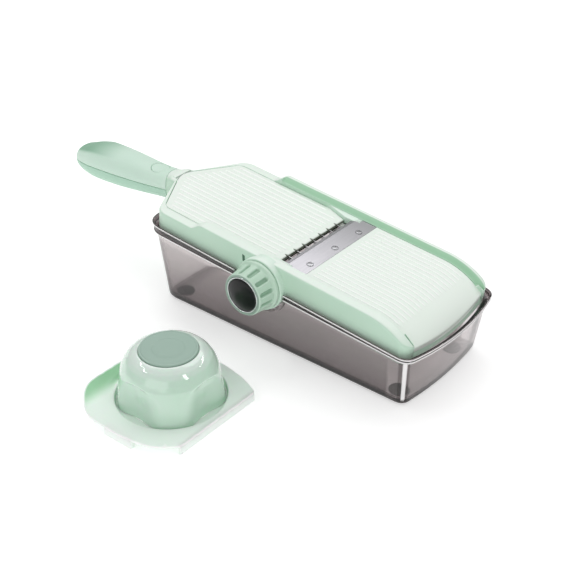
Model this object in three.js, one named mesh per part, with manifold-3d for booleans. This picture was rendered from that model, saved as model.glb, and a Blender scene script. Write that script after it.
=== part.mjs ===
// Mandoline slicer: a clear catch box, a sloping slicing deck with one thickness knob, and a hand guard.
// Millimetres, +Z up. X runs along the deck from the handle (-X) to the landing end (+X).
import * as THREE from 'three';
import { mergeVertices } from 'three/addons/utils/BufferGeometryUtils.js';
import Module from 'manifold-3d';

const wasm = await Module();
wasm.setup();

// ---- Clearances ----
const gap = 0.3; // between pieces that touch
const seatGap = 0.5; // between the box and the deck that drops into it
const pinGap = 0.3; // round a pin or shaft

// ---- Catch box ----
const boxHalfWidth = 53.8; // outside of the wall at the rim
const boxStart = -102.5; // handle end at the rim
const boxEnd = 133.2; // corner of the nose end at the rim
const boxBow = 7; // the nose end bulges outward by this much
const boxBaseBow = 3.4;
const boxStartRadius = 15;
const boxEndRadius = 8;
const boxBottom = 1;
const boxFloor = 3.5;
const boxWall = 2.2;
const sideDraft = 6.8; // each side leans in by this much at the base
const endDraft = 4.5;
const lipOut = 2.2; // rim lip beyond the wall
const rimHeight = 59.26; // rim top over X = 0
const lipHeight = 52.7; // underside of the lip over X = 0
const lipSlope = 0.0755;
const seatDepth = 3.5; // ledge inside the rim that the deck sits on
const seatInset = 0.2;
const notchRadius = 22.5; // cut-out round the knob
const notchOffset = -2;
const notchCollar = 2.2;
const footRadius = 7;
const footHeight = 2.2;
const footPlaces = [[-86, -33], [-86, 33], [116, -33], [116, 33]];

// ---- Deck frame, in the deck's own sloping coordinates: Z = 0 is the landing surface ----
const deckSlope = 0.093; // rise over run
const deckHeight = 74; // landing surface over X = 0
const frameInset = 1.7; // frame's side inside the box's outer face
const frameHalfWidth = boxHalfWidth - frameInset;
const shoulderStart = -93.9;
const neckStart = -114;
const frameEnd = boxEnd - 0.2;
const beyondSide = boxHalfWidth + 6.2; // clear of every side face, for cutting right through
const frameBow = 3.2;
const railWidth = 8.1;
const railInner = frameHalfWidth - railWidth;
const railRise = 3; // rail top above the landing surface
const rampDrop = 3; // ramp and shoulder top below the landing surface
const railStepFrom = -61;
const railStepTo = -50;
const frameDepth = 23;
const frameWall = 2.6;
const bendStart = frameEnd - 35; // the deck bends down over the nose from here
const bendRadius = 55;
const recessSkin = 2.2; // frame left below the landing deck
const shoulderDepth = 13;
const hingePocketDepth = 5;

// ---- Landing deck, blade and rivets ----
const landingThickness = 2.5;
const landingRibs = 19;
const landingRibPitch = 4.3;
const ribHeight = 0.5;
const bladeStart = 19.2; // cutting edge
const bladeEnd = 38.8;
const bladeThickness = 1;
const bladeSink = 0.5;
const bladeBevel = 3;
const slotHalfWidth = railInner - 5.5;
const slotBack = 24;
const rivetRadius = 1.8;
const rivetHeadRadius = 2.7;
const rivetHead = 0.5;
const rivetX = 33.4;
const rivetPitch = 29;

// ---- Ramp ----
const rampEnd = 12.9;
const rampHalfWidth = railInner - 0.6;
const rampTipX = -116;
const rampTipHalfWidth = 4.5;
const rampThickness = 2.5;
const rampTaperStart = -4;
const rampClearance = 0.4;
const rampRibs = 16;
const rampRibPitch = 5.2;
const notchLength = 1.8; // the front edge is notched behind every tooth
const hingeX = -111;
const hingeDrop = 9;
const hingePinRadius = 1.5;
const hingeLugInner = 2;
const hingeLugOuter = 6;
const hingePinHalfLength = 10;
const lugRadius = 3.2;

// ---- Julienne comb ----
const teeth = 7;
const toothPitch = 9.6;
const toothThickness = 0.5;
const combStart = 14.2;
const combEnd = 18.7;
const combHalfWidth = slotHalfWidth - 7;
const toothTop = -3.3;
const combStripTop = -11.2;
const combStrip = 1;
const carrierHeight = 3.5;
const armWidth = 2;
const armReach = 1.6; // into the guide groove
const guideHalfWidth = 3.5;
const guideDepth = 5;
const guideLow = -27;

// ---- Knob, shaft and cams ----
const knobX = 9.1;
const knobZ = 57.6;
const bossRadius = 19.8;
const bossStand = 4.5; // knob boss beyond the frame's side
const bossFace = -frameHalfWidth - bossStand;
const knobBack = bossFace - 2 * gap;
const knobLength = 17.6;
const knobFace = knobBack - knobLength;
const knobBackRadius = 18.8;
const knobRadius = 17.4;
const knobFaceRadius = 16;
const knobRecessRadius = 14;
const knobRecessDepth = 1.6;
const ringWidth = 0.9;
const capRise = 1.6;
const gripRecesses = 12;
const gripRecessRadius = 1.7;
const shaftRadius = 3;
const shaftInKnob = 8.8;
const shaftKnobEnd = knobBack - shaftInKnob;
const shaftFarEnd = railInner + 4.5;
const bushRadius = 5;
const farBossRadius = 7;
const farBossInner = railInner;
const camOuter = railInner - 6.5;
const camWidth = 4;
const camInner = camOuter - camWidth;
const camReach = 12; // from the shaft to the ramp's top
const camRest = camReach - rampThickness; // radius that carries the ramp at rest
const camPerDegree = 0.0278;
const camFrom = -185;
const camTo = 95;
const clipRadius = 5.5;
const clipThickness = 1.2;

// ---- Handle, as stations [x, half width, half height, centre height] ----
const handleStations = [
  [-232.4, 1.5, 1.2, 64.8], [-231.4, 7, 4.6, 65], [-228.4, 11.4, 8.4, 65.3], [-223, 14.4, 11.4, 65.7],
  [-214.5, 16.4, 13.8, 66.2], [-204, 17.4, 15.3, 66.7], [-180, 16.5, 14.8, 67.1], [-155, 14.6, 12.9, 67.8],
  [-135, 13, 11.6, 69],
  [-112, 12.5, 11.5, 71.4], [-98, 12.5, 11.5, 72.6],
];
const handleSquareness = 2.3; // 2 is an ellipse
const collarCentre = -108;
const collarRadius = 20;
const tangEnd = -215;
const tangHalfWidth = 7;
const tangHalfHeight = 4.5;
const plugX = -141;
const plugRadius = 7.2;
const plugDepth = 3;
const plugLift = 12; // top of the plug above the parting line
const screwPlaces = [-152, -198];
const screwRadius = 1.5;
const screwHeadRadius = 3.2;
const screwSeat = 9; // seat of a screw head below the parting line
const screwLength = 10;

// ---- Hand guard, about its own centre ----
const guardX = 1;
const guardY = -141;
const trayFront = 43.5;
const trayFrontHalfWidth = 37.3;
const trayNear = 54.5;
const trayFar = 48;
const trayBack = -47;
const trayTop = 8;
const trayThickness = 2.5;
const trayCurl = 10.5; // rise of the back end
const trayCurlStart = -34;
const trayBar = 2.2;
const cupWall = 1.7;
const cupClearance = 1.3; // round the dome
const cupFloor = 4;
const plungerHole = 31;
const tabHalfLength = 12.5;
const tabX = 2;
const tabHeight = 7;
const tabInset = 3; // from the tray's edge to the middle of a tab
const cupLip = 0.5; // the cup and the front bar stop below the tray's top
const domeRadius = 37.4;
const cupRadius = domeRadius + cupClearance + cupWall;
const domeTop = 44.8;
const domeWall = 2.2;
const fluteDepth = 5.5;
const fluteTop = 32;
const fluteFade = 9;
const discRadius = 20.3;
const discThickness = 2;
const discSink = 0.9;
const postRadius = 5;
const pinPlateRadius = 29;
const pinPlateLow = 6;
const pinPlateThickness = 2;
const pinRadius = 0.8;
const pinLow = 0.8;
const pinRings = [[1, 8], [8, 19]]; // [count, ring radius]

// ---- Colours ----
const paint = {
  smoke: { color: 0x7a7071, roughness: 0.08, metalness: 0, transparent: true, opacity: 0.45 },
  silicone: { color: 0x8c8586, roughness: 0.6, metalness: 0 },
  mint: { color: 0xc3e2d0, roughness: 0.4, metalness: 0 },
  paleMint: { color: 0xeaf6ee, roughness: 0.4, metalness: 0 },
  grip: { color: 0xbfdfcc, roughness: 0.65, metalness: 0 },
  steel: { color: 0xc9cacd, roughness: 0.28, metalness: 1 },
  chrome: { color: 0xe6e6e8, roughness: 0.1, metalness: 1 },
  nylon: { color: 0xe8e8e4, roughness: 0.5, metalness: 0 },
  black: { color: 0x232326, roughness: 0.18, metalness: 0 },
  gloss: { color: 0xd7ebde, roughness: 0.12, metalness: 0 },
  sage: { color: 0x9eb6aa, roughness: 0.5, metalness: 0 },
};

// ---- Solids: joining, cutting and shaping ----
function solidOf(geometry) {
  const bare = geometry.index ? geometry.toNonIndexed() : geometry.clone();
  bare.deleteAttribute('normal');
  bare.deleteAttribute('uv');
  const merged = mergeVertices(bare, 1e-4);
  const vertProperties = merged.attributes.position.array;
  const triVerts = new Uint32Array(merged.index.array);
  return new wasm.Manifold(new wasm.Mesh({ numProp: 3, vertProperties, triVerts }));
}

function geometryOf(solid) {
  const { vertProperties, triVerts } = solid.getMesh();
  const geometry = new THREE.BufferGeometry();
  geometry.setAttribute('position', new THREE.BufferAttribute(vertProperties, 3));
  geometry.setIndex(new THREE.BufferAttribute(triVerts, 1));
  return geometry;
}

const join = (...parts) => geometryOf(parts.map(solidOf).reduce((whole, part) => whole.add(part)));
const cut = (body, ...tools) => geometryOf(
  tools.map(solidOf).reduce((left, tool) => left.subtract(tool), solidOf(body)),
);
const common = (one, other) => geometryOf(solidOf(one).intersect(solidOf(other)));

// Moves every vertex by a function of its place.
function warp(geometry, move) {
  const place = geometry.attributes.position;
  for (let i = 0; i < place.count; i += 1) {
    place.setXYZ(i, ...move(place.getX(i), place.getY(i), place.getZ(i)));
  }
  return geometry;
}

const block = (x0, x1, y0, y1, z0, z1) => new THREE.BoxGeometry(x1 - x0, y1 - y0, z1 - z0)
  .translate((x0 + x1) / 2, (y0 + y1) / 2, (z0 + z1) / 2);
const rodY = (radius, y0, y1, x, z, segments = 32) => new THREE.CylinderGeometry(
  radius, radius, y1 - y0, segments,
).translate(x, (y0 + y1) / 2, z);
const rodZ = (radius, z0, z1, x, y, segments = 32) => new THREE.CylinderGeometry(
  radius, radius, z1 - z0, segments,
).rotateX(Math.PI / 2).translate(x, y, (z0 + z1) / 2);
const turnedY = (profile, segments = 48) => new THREE.LatheGeometry(
  profile.map(([radius, along]) => new THREE.Vector2(radius, along)), segments,
);
const turnedZ = (profile, segments = 48) => turnedY(profile, segments).rotateX(Math.PI / 2);
const slab = (shape, z0, z1) => new THREE.ExtrudeGeometry(
  shape, { depth: z1 - z0, bevelEnabled: false, curveSegments: 4 },
).translate(0, 0, z0);
// A shape in the XZ plane carried along Y.
const sideSlab = (shape, y0, y1) => new THREE.ExtrudeGeometry(
  shape, { depth: y1 - y0, bevelEnabled: false, curveSegments: 8 },
).rotateX(Math.PI / 2).translate(0, y1, 0);
const mirrorY = (points) => points.map(([x, y, setback]) => [x, -y, setback]).reverse();

// A closed outline through corners [x, y, setback]; each corner is rounded from its setback.
function filleted(corners) {
  const shape = new THREE.Shape();
  corners.forEach(([x, y, setback], i) => {
    const corner = new THREE.Vector2(x, y);
    const [fromX, fromY] = corners.at(i - 1);
    const [toX, toY] = corners[(i + 1) % corners.length];
    const enter = new THREE.Vector2(fromX, fromY).sub(corner).setLength(setback).add(corner);
    const leave = new THREE.Vector2(toX, toY).sub(corner).setLength(setback).add(corner);
    if (i === 0) shape.moveTo(enter.x, enter.y);
    else shape.lineTo(enter.x, enter.y);
    if (setback > 0) shape.quadraticCurveTo(x, y, leave.x, leave.y);
  });
  shape.closePath();
  return shape;
}

// A long outline with a square-cornered start and a bowed nose.
function noseShape(halfWidth, start, end, startRadius, endRadius, bow) {
  const near = [[start, -halfWidth, startRadius], [end, -halfWidth, endRadius]];
  return filleted([...near, [end + 1.74 * bow, 0, 0.8 * halfWidth], ...mirrorY(near)]);
}

// ---- Catch box ----
const rimTop = (x) => rimHeight - deckSlope * x;
const lipUnder = (x) => lipHeight - lipSlope * x;

// A block of the box's drafted plan between two heights; inset moves its sides in from the wall's outside.
function boxBlock(inset, low, high) {
  const halfWidth = boxHalfWidth - inset;
  const middle = (boxStart + boxEnd) / 2;
  const halfLength = (boxEnd - boxStart) / 2;
  const shape = noseShape(
    halfWidth, boxStart + inset, boxEnd - inset, boxStartRadius - inset, boxEndRadius - inset / 2, boxBow,
  );
  return warp(slab(shape, 0, 1), (x, y, t) => {
    const z = low(x) + t * (high(x) - low(x));
    const sunk = (rimTop(x) - z) / (rimTop(x) - boxBottom);
    const toNose = (x - middle) / halfLength;
    const flatten = (boxBow - boxBaseBow) * (1 - (y / halfWidth) ** 2) * Math.max(0, toNose);
    return [x - sunk * (endDraft * toNose + flatten), y * (1 - (sunk * sideDraft) / halfWidth), z];
  });
}

// The walls, floor and rim, with every face moved out by grow.
function boxShell(grow) {
  const above = (x) => rimTop(x) + 20;
  const wall = boxBlock(-grow, () => boxBottom - grow, (x) => rimTop(x) + grow);
  const lip = boxBlock(-lipOut - grow, (x) => lipUnder(x) - grow, (x) => rimTop(x) + grow);
  const inside = boxBlock(boxWall + grow, () => boxBottom + boxFloor + grow, above);
  const seat = boxBlock(seatInset + grow - boxWall + 0.6, (x) => rimTop(x) - seatDepth + grow, above);
  return cut(join(wall, lip), inside, seat);
}

function makeBox() {
  const notchX = knobX + notchOffset;
  const outside = -boxHalfWidth - lipOut;
  const collar = common(
    rodY(notchRadius + notchCollar, outside, outside + 8, notchX, knobZ, 36),
    block(boxStart, boxEnd, outside, outside + 8, 0, lipUnder(notchX)),
  );
  const notch = join(
    rodY(notchRadius, outside - 5, -boxHalfWidth + 15, notchX, knobZ, 36),
    block(notchX - notchRadius, notchX + notchRadius, outside - 5, -boxHalfWidth + 15, knobZ, knobZ + 30),
  );
  const inside = boxBlock(boxWall / 2, () => boxBottom + boxFloor, (x) => rimTop(x) + 20);
  const sockets = footPlaces.map(([x, y]) => rodZ(footRadius + gap, -1, footHeight + gap, x, y));
  return cut(join(boxShell(0), cut(collar, inside)), notch, ...sockets);
}

// ---- Deck frame ----
// The part of the XZ plane below a level that bends down over the nose.
function belowNose(level, floor, from) {
  const reach = bendRadius + level;
  const angle = THREE.MathUtils.degToRad(50);
  const shape = new THREE.Shape();
  shape.moveTo(from, floor);
  shape.lineTo(from, level);
  shape.lineTo(bendStart, level);
  shape.absarc(bendStart, -bendRadius, reach, Math.PI / 2, Math.PI / 2 - angle, true);
  shape.lineTo(bendStart + reach * Math.sin(angle), floor);
  shape.closePath();
  return shape;
}

// The frame's side view: low at the shoulders, an S step up to the rails, bent down at the nose.
function frameSide() {
  const shape = belowNose(railRise, -frameDepth, railStepTo);
  const shoulder = new THREE.Shape();
  const middle = (railStepFrom + railStepTo) / 2;
  shoulder.moveTo(-160, -frameDepth);
  shoulder.lineTo(railStepTo + 1, -frameDepth);
  shoulder.lineTo(railStepTo + 1, railRise);
  shoulder.lineTo(railStepTo, railRise);
  shoulder.bezierCurveTo(middle, railRise, middle, -rampDrop, railStepFrom, -rampDrop);
  shoulder.lineTo(-160, -rampDrop);
  shoulder.closePath();
  return join(sideSlab(shape, -beyondSide, beyondSide), sideSlab(shoulder, -beyondSide, beyondSide));
}

function frameOutline() {
  const neck = handleStations.at(-1)[1];
  const near = [[neckStart, -neck, 7], [shoulderStart, -frameHalfWidth, 8], [frameEnd, -frameHalfWidth, 7]];
  return filleted([...near, [frameEnd + 1.74 * frameBow, 0, 0.8 * frameHalfWidth], ...mirrorY(near)]);
}

// The ramp's outline: a point at the handle, straight sides, and corners cut back towards the slot.
function rampOutline(grow) {
  const near = [
    [rampTipX - grow, -rampTipHalfWidth - grow, 4], [shoulderStart - grow / 2, -rampHalfWidth - grow, 6],
    [rampTaperStart, -rampHalfWidth - grow, 1], [rampEnd + grow, -slotHalfWidth - grow + gap, 0.5],
  ];
  return filleted([...near, ...mirrorY(near)]);
}

const deckAngle = Math.atan(deckSlope);
const deckPlace = new THREE.Matrix4().makeRotationY(deckAngle).setPosition(0, 0, deckHeight);
const toDeck = deckPlace.clone().invert();
const shaftInDeck = new THREE.Vector3(knobX, 0, knobZ).applyMatrix4(toDeck);
const landingUnder = -landingThickness - gap;
const bladeUnder = -bladeSink - bladeThickness - gap;
const cavityTop = landingUnder - recessSkin;
const hingeZ = -hingeDrop;

// The handle's solid, drawn in by inset: rings of a rounded section along the stations.
function handleBody(inset) {
  const widths = new THREE.SplineCurve(handleStations.map(([x, wide]) => new THREE.Vector2(x, wide)));
  const heights = new THREE.SplineCurve(handleStations.map(([x, , high]) => new THREE.Vector2(x, high)));
  const centres = new THREE.SplineCurve(handleStations.map(([x, , , z]) => new THREE.Vector2(x, z)));
  const bulge = (value) => Math.sign(value) * Math.abs(value) ** (2 / handleSquareness);
  const unit = new THREE.CylinderGeometry(1, 1, 1, 22, 16).rotateZ(-Math.PI / 2);
  return warp(unit, (along, y, z) => {
    const t = THREE.MathUtils.clamp(along + 0.5, 0, 1);
    const { x, y: wide } = widths.getPoint(t);
    const high = heights.getPoint(t).y;
    const middle = centres.getPoint(t).y;
    return [x, bulge(y) * Math.max(wide - inset, 0.3), middle + bulge(z) * Math.max(high - inset, 0.3)];
  });
}

// The part of the XZ plane above the handle's parting line.
function aboveParting(lift) {
  const shape = new THREE.Shape();
  shape.moveTo(handleStations[0][0] - 10, 120);
  shape.lineTo(handleStations[0][0] - 10, handleStations[0][3] + lift);
  handleStations.forEach(([x, , , z]) => shape.lineTo(x, z + lift));
  shape.lineTo(handleStations.at(-1)[0], 120);
  shape.closePath();
  return sideSlab(shape, -40, 40);
}

const handleHeight = (x) => {
  const i = handleStations.findIndex(([station]) => station > x);
  const [x0, , , z0] = handleStations[i - 1];
  const [x1, , , z1] = handleStations[i];
  return z0 + ((z1 - z0) * (x - x0)) / (x1 - x0);
};

function tang(grow) {
  const start = collarCentre - collarRadius / 2;
  const shape = new THREE.Shape();
  const half = tangHalfHeight + grow;
  shape.moveTo(tangEnd - grow, handleHeight(tangEnd) - half);
  shape.lineTo(start, handleHeight(start) - half);
  shape.lineTo(start, handleHeight(start) + half);
  shape.lineTo(tangEnd - grow, handleHeight(tangEnd) + half);
  shape.closePath();
  return sideSlab(shape, -tangHalfWidth - grow, tangHalfWidth + grow);
}

// The frame's oval neck, ending in an upright cylinder that the grip closes against.
function neck() {
  const collar = join(
    rodZ(collarRadius, 30, 110, collarCentre, 0, 48),
    block(collarCentre, shoulderStart, -collarRadius, collarRadius, 30, 110),
  );
  const screws = screwPlaces.map((x) => rodZ(
    screwRadius + pinGap, handleHeight(x) - 10, handleHeight(x) + 2, x, 0, 16,
  ));
  return cut(join(common(handleBody(0), collar), tang(0)), ...screws).applyMatrix4(toDeck);
}

function knobBoss() {
  return rodY(bossRadius, bossFace, -frameHalfWidth + frameWall, shaftInDeck.x, shaftInDeck.z, 40);
}

function combGuide(side) {
  const middle = side * (combHalfWidth - armWidth / 2);
  const groove = armWidth / 2 + gap;
  const [low, high] = [middle - guideHalfWidth, middle + guideHalfWidth];
  return cut(
    block(slotBack, slotBack + guideDepth, low, high, guideLow, bladeUnder - 1),
    block(slotBack - 1, slotBack + armReach + gap, middle - groove, middle + groove, guideLow - 1, cavityTop),
  );
}

function makeFrame() {
  const body = common(slab(frameOutline(), -frameDepth, railRise + 1), frameSide());
  const hollow = common(
    slab(noseShape(
      frameHalfWidth - frameWall, boxStart + boxWall + frameWall, frameEnd - frameWall, 8, 6, frameBow,
    ), -frameDepth - 1, railRise),
    sideSlab(belowNose(cavityTop, -frameDepth - 2, -160), -beyondSide, beyondSide),
  );
  const overhang = block(-160, boxStart - lipOut - seatGap, -beyondSide, beyondSide, -60, -shoulderDepth);
  const shell = join(
    cut(body, hollow, overhang), neck(), knobBoss(), combGuide(1), combGuide(-1),
    rodY(farBossRadius, farBossInner, frameHalfWidth - frameWall / 2, shaftInDeck.x, shaftInDeck.z),
  );
  const rampWell = slab(rampOutline(rampClearance), hingeZ + gap, railRise + 2);
  const slot = block(rampEnd - 1, slotBack, -slotHalfWidth, slotHalfWidth, -frameDepth - 9, railRise + 2);
  const bladeWell = block(
    bladeStart - gap, bladeEnd + 2, -railInner - gap, railInner + gap, bladeUnder, railRise + 2,
  );
  const guides = block(rampTaperStart - 4, bladeEnd, -railInner, railInner, -bladeSink, railRise + 2);
  const landingWell = cut(
    block(bladeEnd + gap, frameEnd + 30, -railInner, railInner, -60, railRise + 2),
    sideSlab(belowNose(landingUnder, -80, 0), -beyondSide, beyondSide),
  );
  const lugPocket = block(
    hingeX - lugRadius - 1.3, hingeX + lugRadius + 1.3, -hingeLugOuter - gap * 2, hingeLugOuter + gap * 2,
    hingeZ - hingePocketDepth, hingeZ + 2,
  );
  const pinHole = rodY(
    hingePinRadius + pinGap, -hingePinHalfLength - gap, hingePinHalfLength + gap, hingeX, hingeZ, 16,
  );
  const pinEntry = block(
    hingeX - hingePinRadius - pinGap, hingeX + hingePinRadius + pinGap,
    -hingePinHalfLength - gap, hingePinHalfLength + gap, hingeZ, hingeZ + 3,
  );
  const bushHole = rodY(bushRadius + gap, bossFace - 2, -railInner + 4, shaftInDeck.x, shaftInDeck.z);
  const farHole = rodY(shaftRadius + pinGap, farBossInner - 2, shaftFarEnd + gap, shaftInDeck.x, shaftInDeck.z);
  const rivetHoles = rivets((y) => rodZ(rivetRadius + pinGap, -9, 2, rivetX, y, 12));
  const pointer = block(-9.4, -7.8, -frameHalfWidth - 2, -frameHalfWidth + 0.7, -6, -1);
  return cut(
    shell, rampWell, slot, bladeWell, guides, landingWell, lugPocket, pinHole, pinEntry, bushHole, farHole,
    pointer, ...rivetHoles, boxShell(seatGap).applyMatrix4(toDeck),
  );
}

// ---- Landing deck, blade and rivets ----
function rivets(make) {
  return [-rivetPitch, 0, rivetPitch].map(make);
}

function makeLandingDeck() {
  const plan = slab(
    noseShape(railInner - gap, bladeEnd + gap, frameEnd, 0.5, 3, frameBow), -60, railRise,
  );
  const sheet = cut(
    sideSlab(belowNose(0, -80, 0), -beyondSide, beyondSide),
    sideSlab(belowNose(-landingThickness, -81, -1), -beyondSide - 1, beyondSide + 1),
  );
  const ribs = Array.from({ length: landingRibs }, (_, i) => {
    const y = (i - (landingRibs - 1) / 2) * landingRibPitch;
    return block(bladeEnd + 5, bendStart - 2, y - 0.8, y + 0.8, -landingThickness / 2, ribHeight);
  });
  return join(common(plan, sheet), ...ribs);
}

function makeBlade() {
  const top = -bladeSink;
  const under = top - bladeThickness;
  const shape = filleted([
    [bladeStart, under + 0.1, 0], [bladeEnd, under, 0], [bladeEnd, top, 0], [bladeStart + bladeBevel, top, 0],
    [bladeStart, under + 0.3, 0],
  ]);
  const holes = rivets((y) => rodZ(rivetRadius + pinGap, -9, 2, rivetX, y, 12));
  return cut(sideSlab(shape, -railInner, railInner), ...holes);
}

function makeRivet() {
  const seat = -bladeSink + gap;
  const low = cavityTop - gap;
  return turnedZ([
    [0, low - rivetHead * 1.5], [rivetHeadRadius, low - rivetHead], [rivetHeadRadius, low], [rivetRadius, low],
    [rivetRadius, seat], [rivetHeadRadius, seat], [rivetHeadRadius - 0.5, seat + rivetHead],
    [0, seat + rivetHead],
  ], 12);
}

// ---- Ramp ----
function makeRamp() {
  const top = -rampDrop;
  const under = top - rampThickness;
  const plate = slab(rampOutline(0), under, top);
  const ribs = Array.from({ length: rampRibs }, (_, i) => {
    const y = (i - (rampRibs - 1) / 2) * rampRibPitch;
    const start = shoulderStart - (rampHalfWidth - Math.abs(y)) / 2 + 6;
    const end = Math.abs(y) > slotHalfWidth - 4 ? rampTaperStart : rampEnd - 6;
    return block(start, end, y - 1, y + 1, top - 1, top + ribHeight);
  });
  const lugs = [-1, 1].flatMap((side) => {
    const [inner, outer] = side < 0 ? [-hingeLugOuter, -hingeLugInner] : [hingeLugInner, hingeLugOuter];
    return [
      rodY(lugRadius, inner, outer, hingeX, hingeZ, 16),
      block(hingeX - lugRadius * 0.8, hingeX + lugRadius * 0.8, inner, outer, hingeZ, under + 1),
    ];
  });
  const pinHole = rodY(hingePinRadius + pinGap, -20, 20, hingeX, hingeZ, 16);
  const notches = combPlaces().map((y) => block(
    rampEnd - notchLength, rampEnd + 5, y - toothThickness, y + toothThickness, -60, 10,
  ));
  return cut(join(plate, ...ribs, ...lugs), pinHole, ...notches);
}

// ---- Julienne comb ----
const combPlaces = () => Array.from({ length: teeth }, (_, i) => (i - (teeth - 1) / 2) * toothPitch);

function makeComb() {
  const strip = block(
    combStart, combEnd, -combHalfWidth + 0.5, combHalfWidth - 0.5, combStripTop - combStrip, combStripTop,
  );
  const blades = combPlaces().map((y) => block(
    combStart, combEnd, y - toothThickness / 2, y + toothThickness / 2, combStripTop - combStrip / 2, toothTop,
  ));
  return join(strip, ...blades);
}

function makeCombCarrier() {
  const top = combStripTop - combStrip - gap;
  const low = top - carrierHeight;
  const arms = [-combHalfWidth, combHalfWidth - armWidth].map((y) => block(
    combEnd - 1, slotBack + armReach, y, y + armWidth, low, top,
  ));
  return join(block(combStart, combEnd, -combHalfWidth, combHalfWidth, low, top), ...arms);
}

// ---- Knob, shaft and cams, about the knob's axis ----
function makeKnob() {
  const floor = knobFace + knobRecessDepth;
  const body = turnedY([
    [0, floor], [knobRecessRadius, floor], [knobRecessRadius, knobFace], [knobFaceRadius - 1, knobFace],
    [knobFaceRadius, knobFace + 1], [knobRadius, knobBack - 4], [knobBackRadius, knobBack - 2.5],
    [knobBackRadius, knobBack], [0, knobBack],
  ].reverse().map(([radius, y]) => [radius, -y]), 36).rotateX(Math.PI);
  const bore = rodY(shaftRadius + pinGap, shaftKnobEnd - gap, knobBack + 1, 0, 0);
  const recesses = Array.from({ length: gripRecesses }, (_, i) => {
    const turn = (i + 0.5) * ((2 * Math.PI) / gripRecesses);
    const lean = Math.atan((knobRadius - knobFaceRadius) / (knobBack - knobFace - 5));
    return new THREE.CylinderGeometry(gripRecessRadius, gripRecessRadius, 10, 6)
      .rotateZ(-lean).translate((knobRadius + knobFaceRadius) / 2 + 0.4, (knobBack + knobFace) / 2 - 0.8, 0)
      .rotateY(turn);
  });
  return cut(body, bore, ...recesses);
}

function makeKnobRing() {
  const outer = knobRecessRadius - gap;
  const low = -(knobFace + knobRecessDepth - gap);
  const high = -knobFace + 0.3;
  return turnedY([
    [outer, low], [outer, high], [outer - ringWidth, high], [outer - ringWidth, low], [outer, low],
  ], 36).rotateX(Math.PI);
}

function makeKnobCap() {
  const radius = knobRecessRadius - gap * 2 - ringWidth;
  const low = -(knobFace + knobRecessDepth - gap);
  const edge = -knobFace;
  return turnedY([
    [0, low], [radius, low], [radius, edge], [radius * 0.8, edge + capRise * 0.55],
    [radius * 0.45, edge + capRise * 0.9], [0, edge + capRise],
  ], 30).rotateX(Math.PI);
}

function makeShaft() {
  return rodY(shaftRadius, shaftKnobEnd, shaftFarEnd, 0, 0, 16);
}

function makeBush() {
  const inner = shaftRadius + pinGap;
  const [low, high] = [bossFace, -frameHalfWidth + frameWall];
  return turnedY([[bushRadius, low], [bushRadius, high], [inner, high], [inner, low], [bushRadius, low]], 32);
}

// A snail cam: its radius grows evenly with the angle, so the ramp moves evenly with the knob.
function makeCam(y) {
  const shape = new THREE.Shape();
  const steps = 28;
  for (let i = 0; i <= steps; i += 1) {
    const degrees = camFrom + ((camTo - camFrom) * i) / steps;
    const radius = camRest + camPerDegree * degrees;
    const angle = THREE.MathUtils.degToRad(degrees) + deckAngle;
    const [x, z] = [radius * Math.sin(angle), radius * Math.cos(angle)];
    if (i === 0) shape.moveTo(x, z);
    else shape.lineTo(x, z);
  }
  shape.closePath();
  const hub = rodY(shaftRadius + pinGap + 0.9, y, y + camWidth, 0, 0, 16);
  const bore = rodY(shaftRadius + pinGap, y - 1, y + camOuter, 0, 0, 16);
  return cut(join(sideSlab(shape, y, y + camWidth), hub), bore);
}

function makeClip() {
  const inner = shaftRadius + pinGap;
  const high = farBossInner - gap;
  const low = high - clipThickness;
  const ring = turnedY([
    [clipRadius, low], [clipRadius, high], [inner, high], [inner, low], [clipRadius, low],
  ], 32);
  return cut(ring, block(-1.6, 1.6, low - 1, high + 1, -clipRadius - 1, 0));
}

// ---- Handle ----
function makeGrip() {
  const end = rodZ(collarRadius + gap, 20, 120, collarCentre, 0, 48);
  const past = block(collarCentre, 0, -60, 60, 20, 120);
  const socketFloor = handleHeight(plugX) + plugLift - plugDepth - gap;
  const socket = rodZ(plugRadius + gap, socketFloor, socketFloor + 20, plugX, 0, 28);
  return cut(common(handleBody(0), aboveParting(gap / 2)), end, past, tang(gap), socket);
}

function makeShell() {
  const end = rodZ(collarRadius + gap, 20, 120, collarCentre, 0, 48);
  const past = block(collarCentre, 0, -60, 60, 20, 120);
  const holes = screwPlaces.flatMap((x) => {
    const seat = handleHeight(x) - screwSeat + gap;
    return [
      rodZ(screwRadius + pinGap, seat - 2, handleHeight(x), x, 0, 12),
      rodZ(screwHeadRadius + gap, 30, seat, x, 0, 16),
    ];
  });
  return cut(handleBody(0), aboveParting(-gap / 2), end, past, tang(gap), ...holes);
}

function makePlug() {
  const low = handleHeight(plugX) + plugLift - plugDepth;
  return common(handleBody(0.25), rodZ(plugRadius, low, low + 20, plugX, 0, 28));
}

function makeScrew(x) {
  const seat = handleHeight(x) - screwSeat;
  return turnedZ([
    [0, seat - 2.2], [screwHeadRadius - 0.8, seat - 2.2], [screwHeadRadius, seat - 1.2], [screwHeadRadius, seat],
    [screwRadius, seat], [screwRadius, seat + screwLength], [0, seat + screwLength + 0.6],
  ], 12).translate(x, 0, 0);
}

// ---- Hand guard ----
// The tray's outline: a straight front and back joined by sides that bow further out on the near side.
function trayOutline() {
  const side = (half) => [
    [trayBack, half - 16, 10], [trayBack + 18, half - 1, 11], [6, half, 12], [trayFront - 14, half - 4.5, 8],
    [trayFront, trayFrontHalfWidth, 2],
  ];
  return filleted([...mirrorY(side(trayNear)).reverse(), ...side(trayFar).reverse()]);
}

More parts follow.
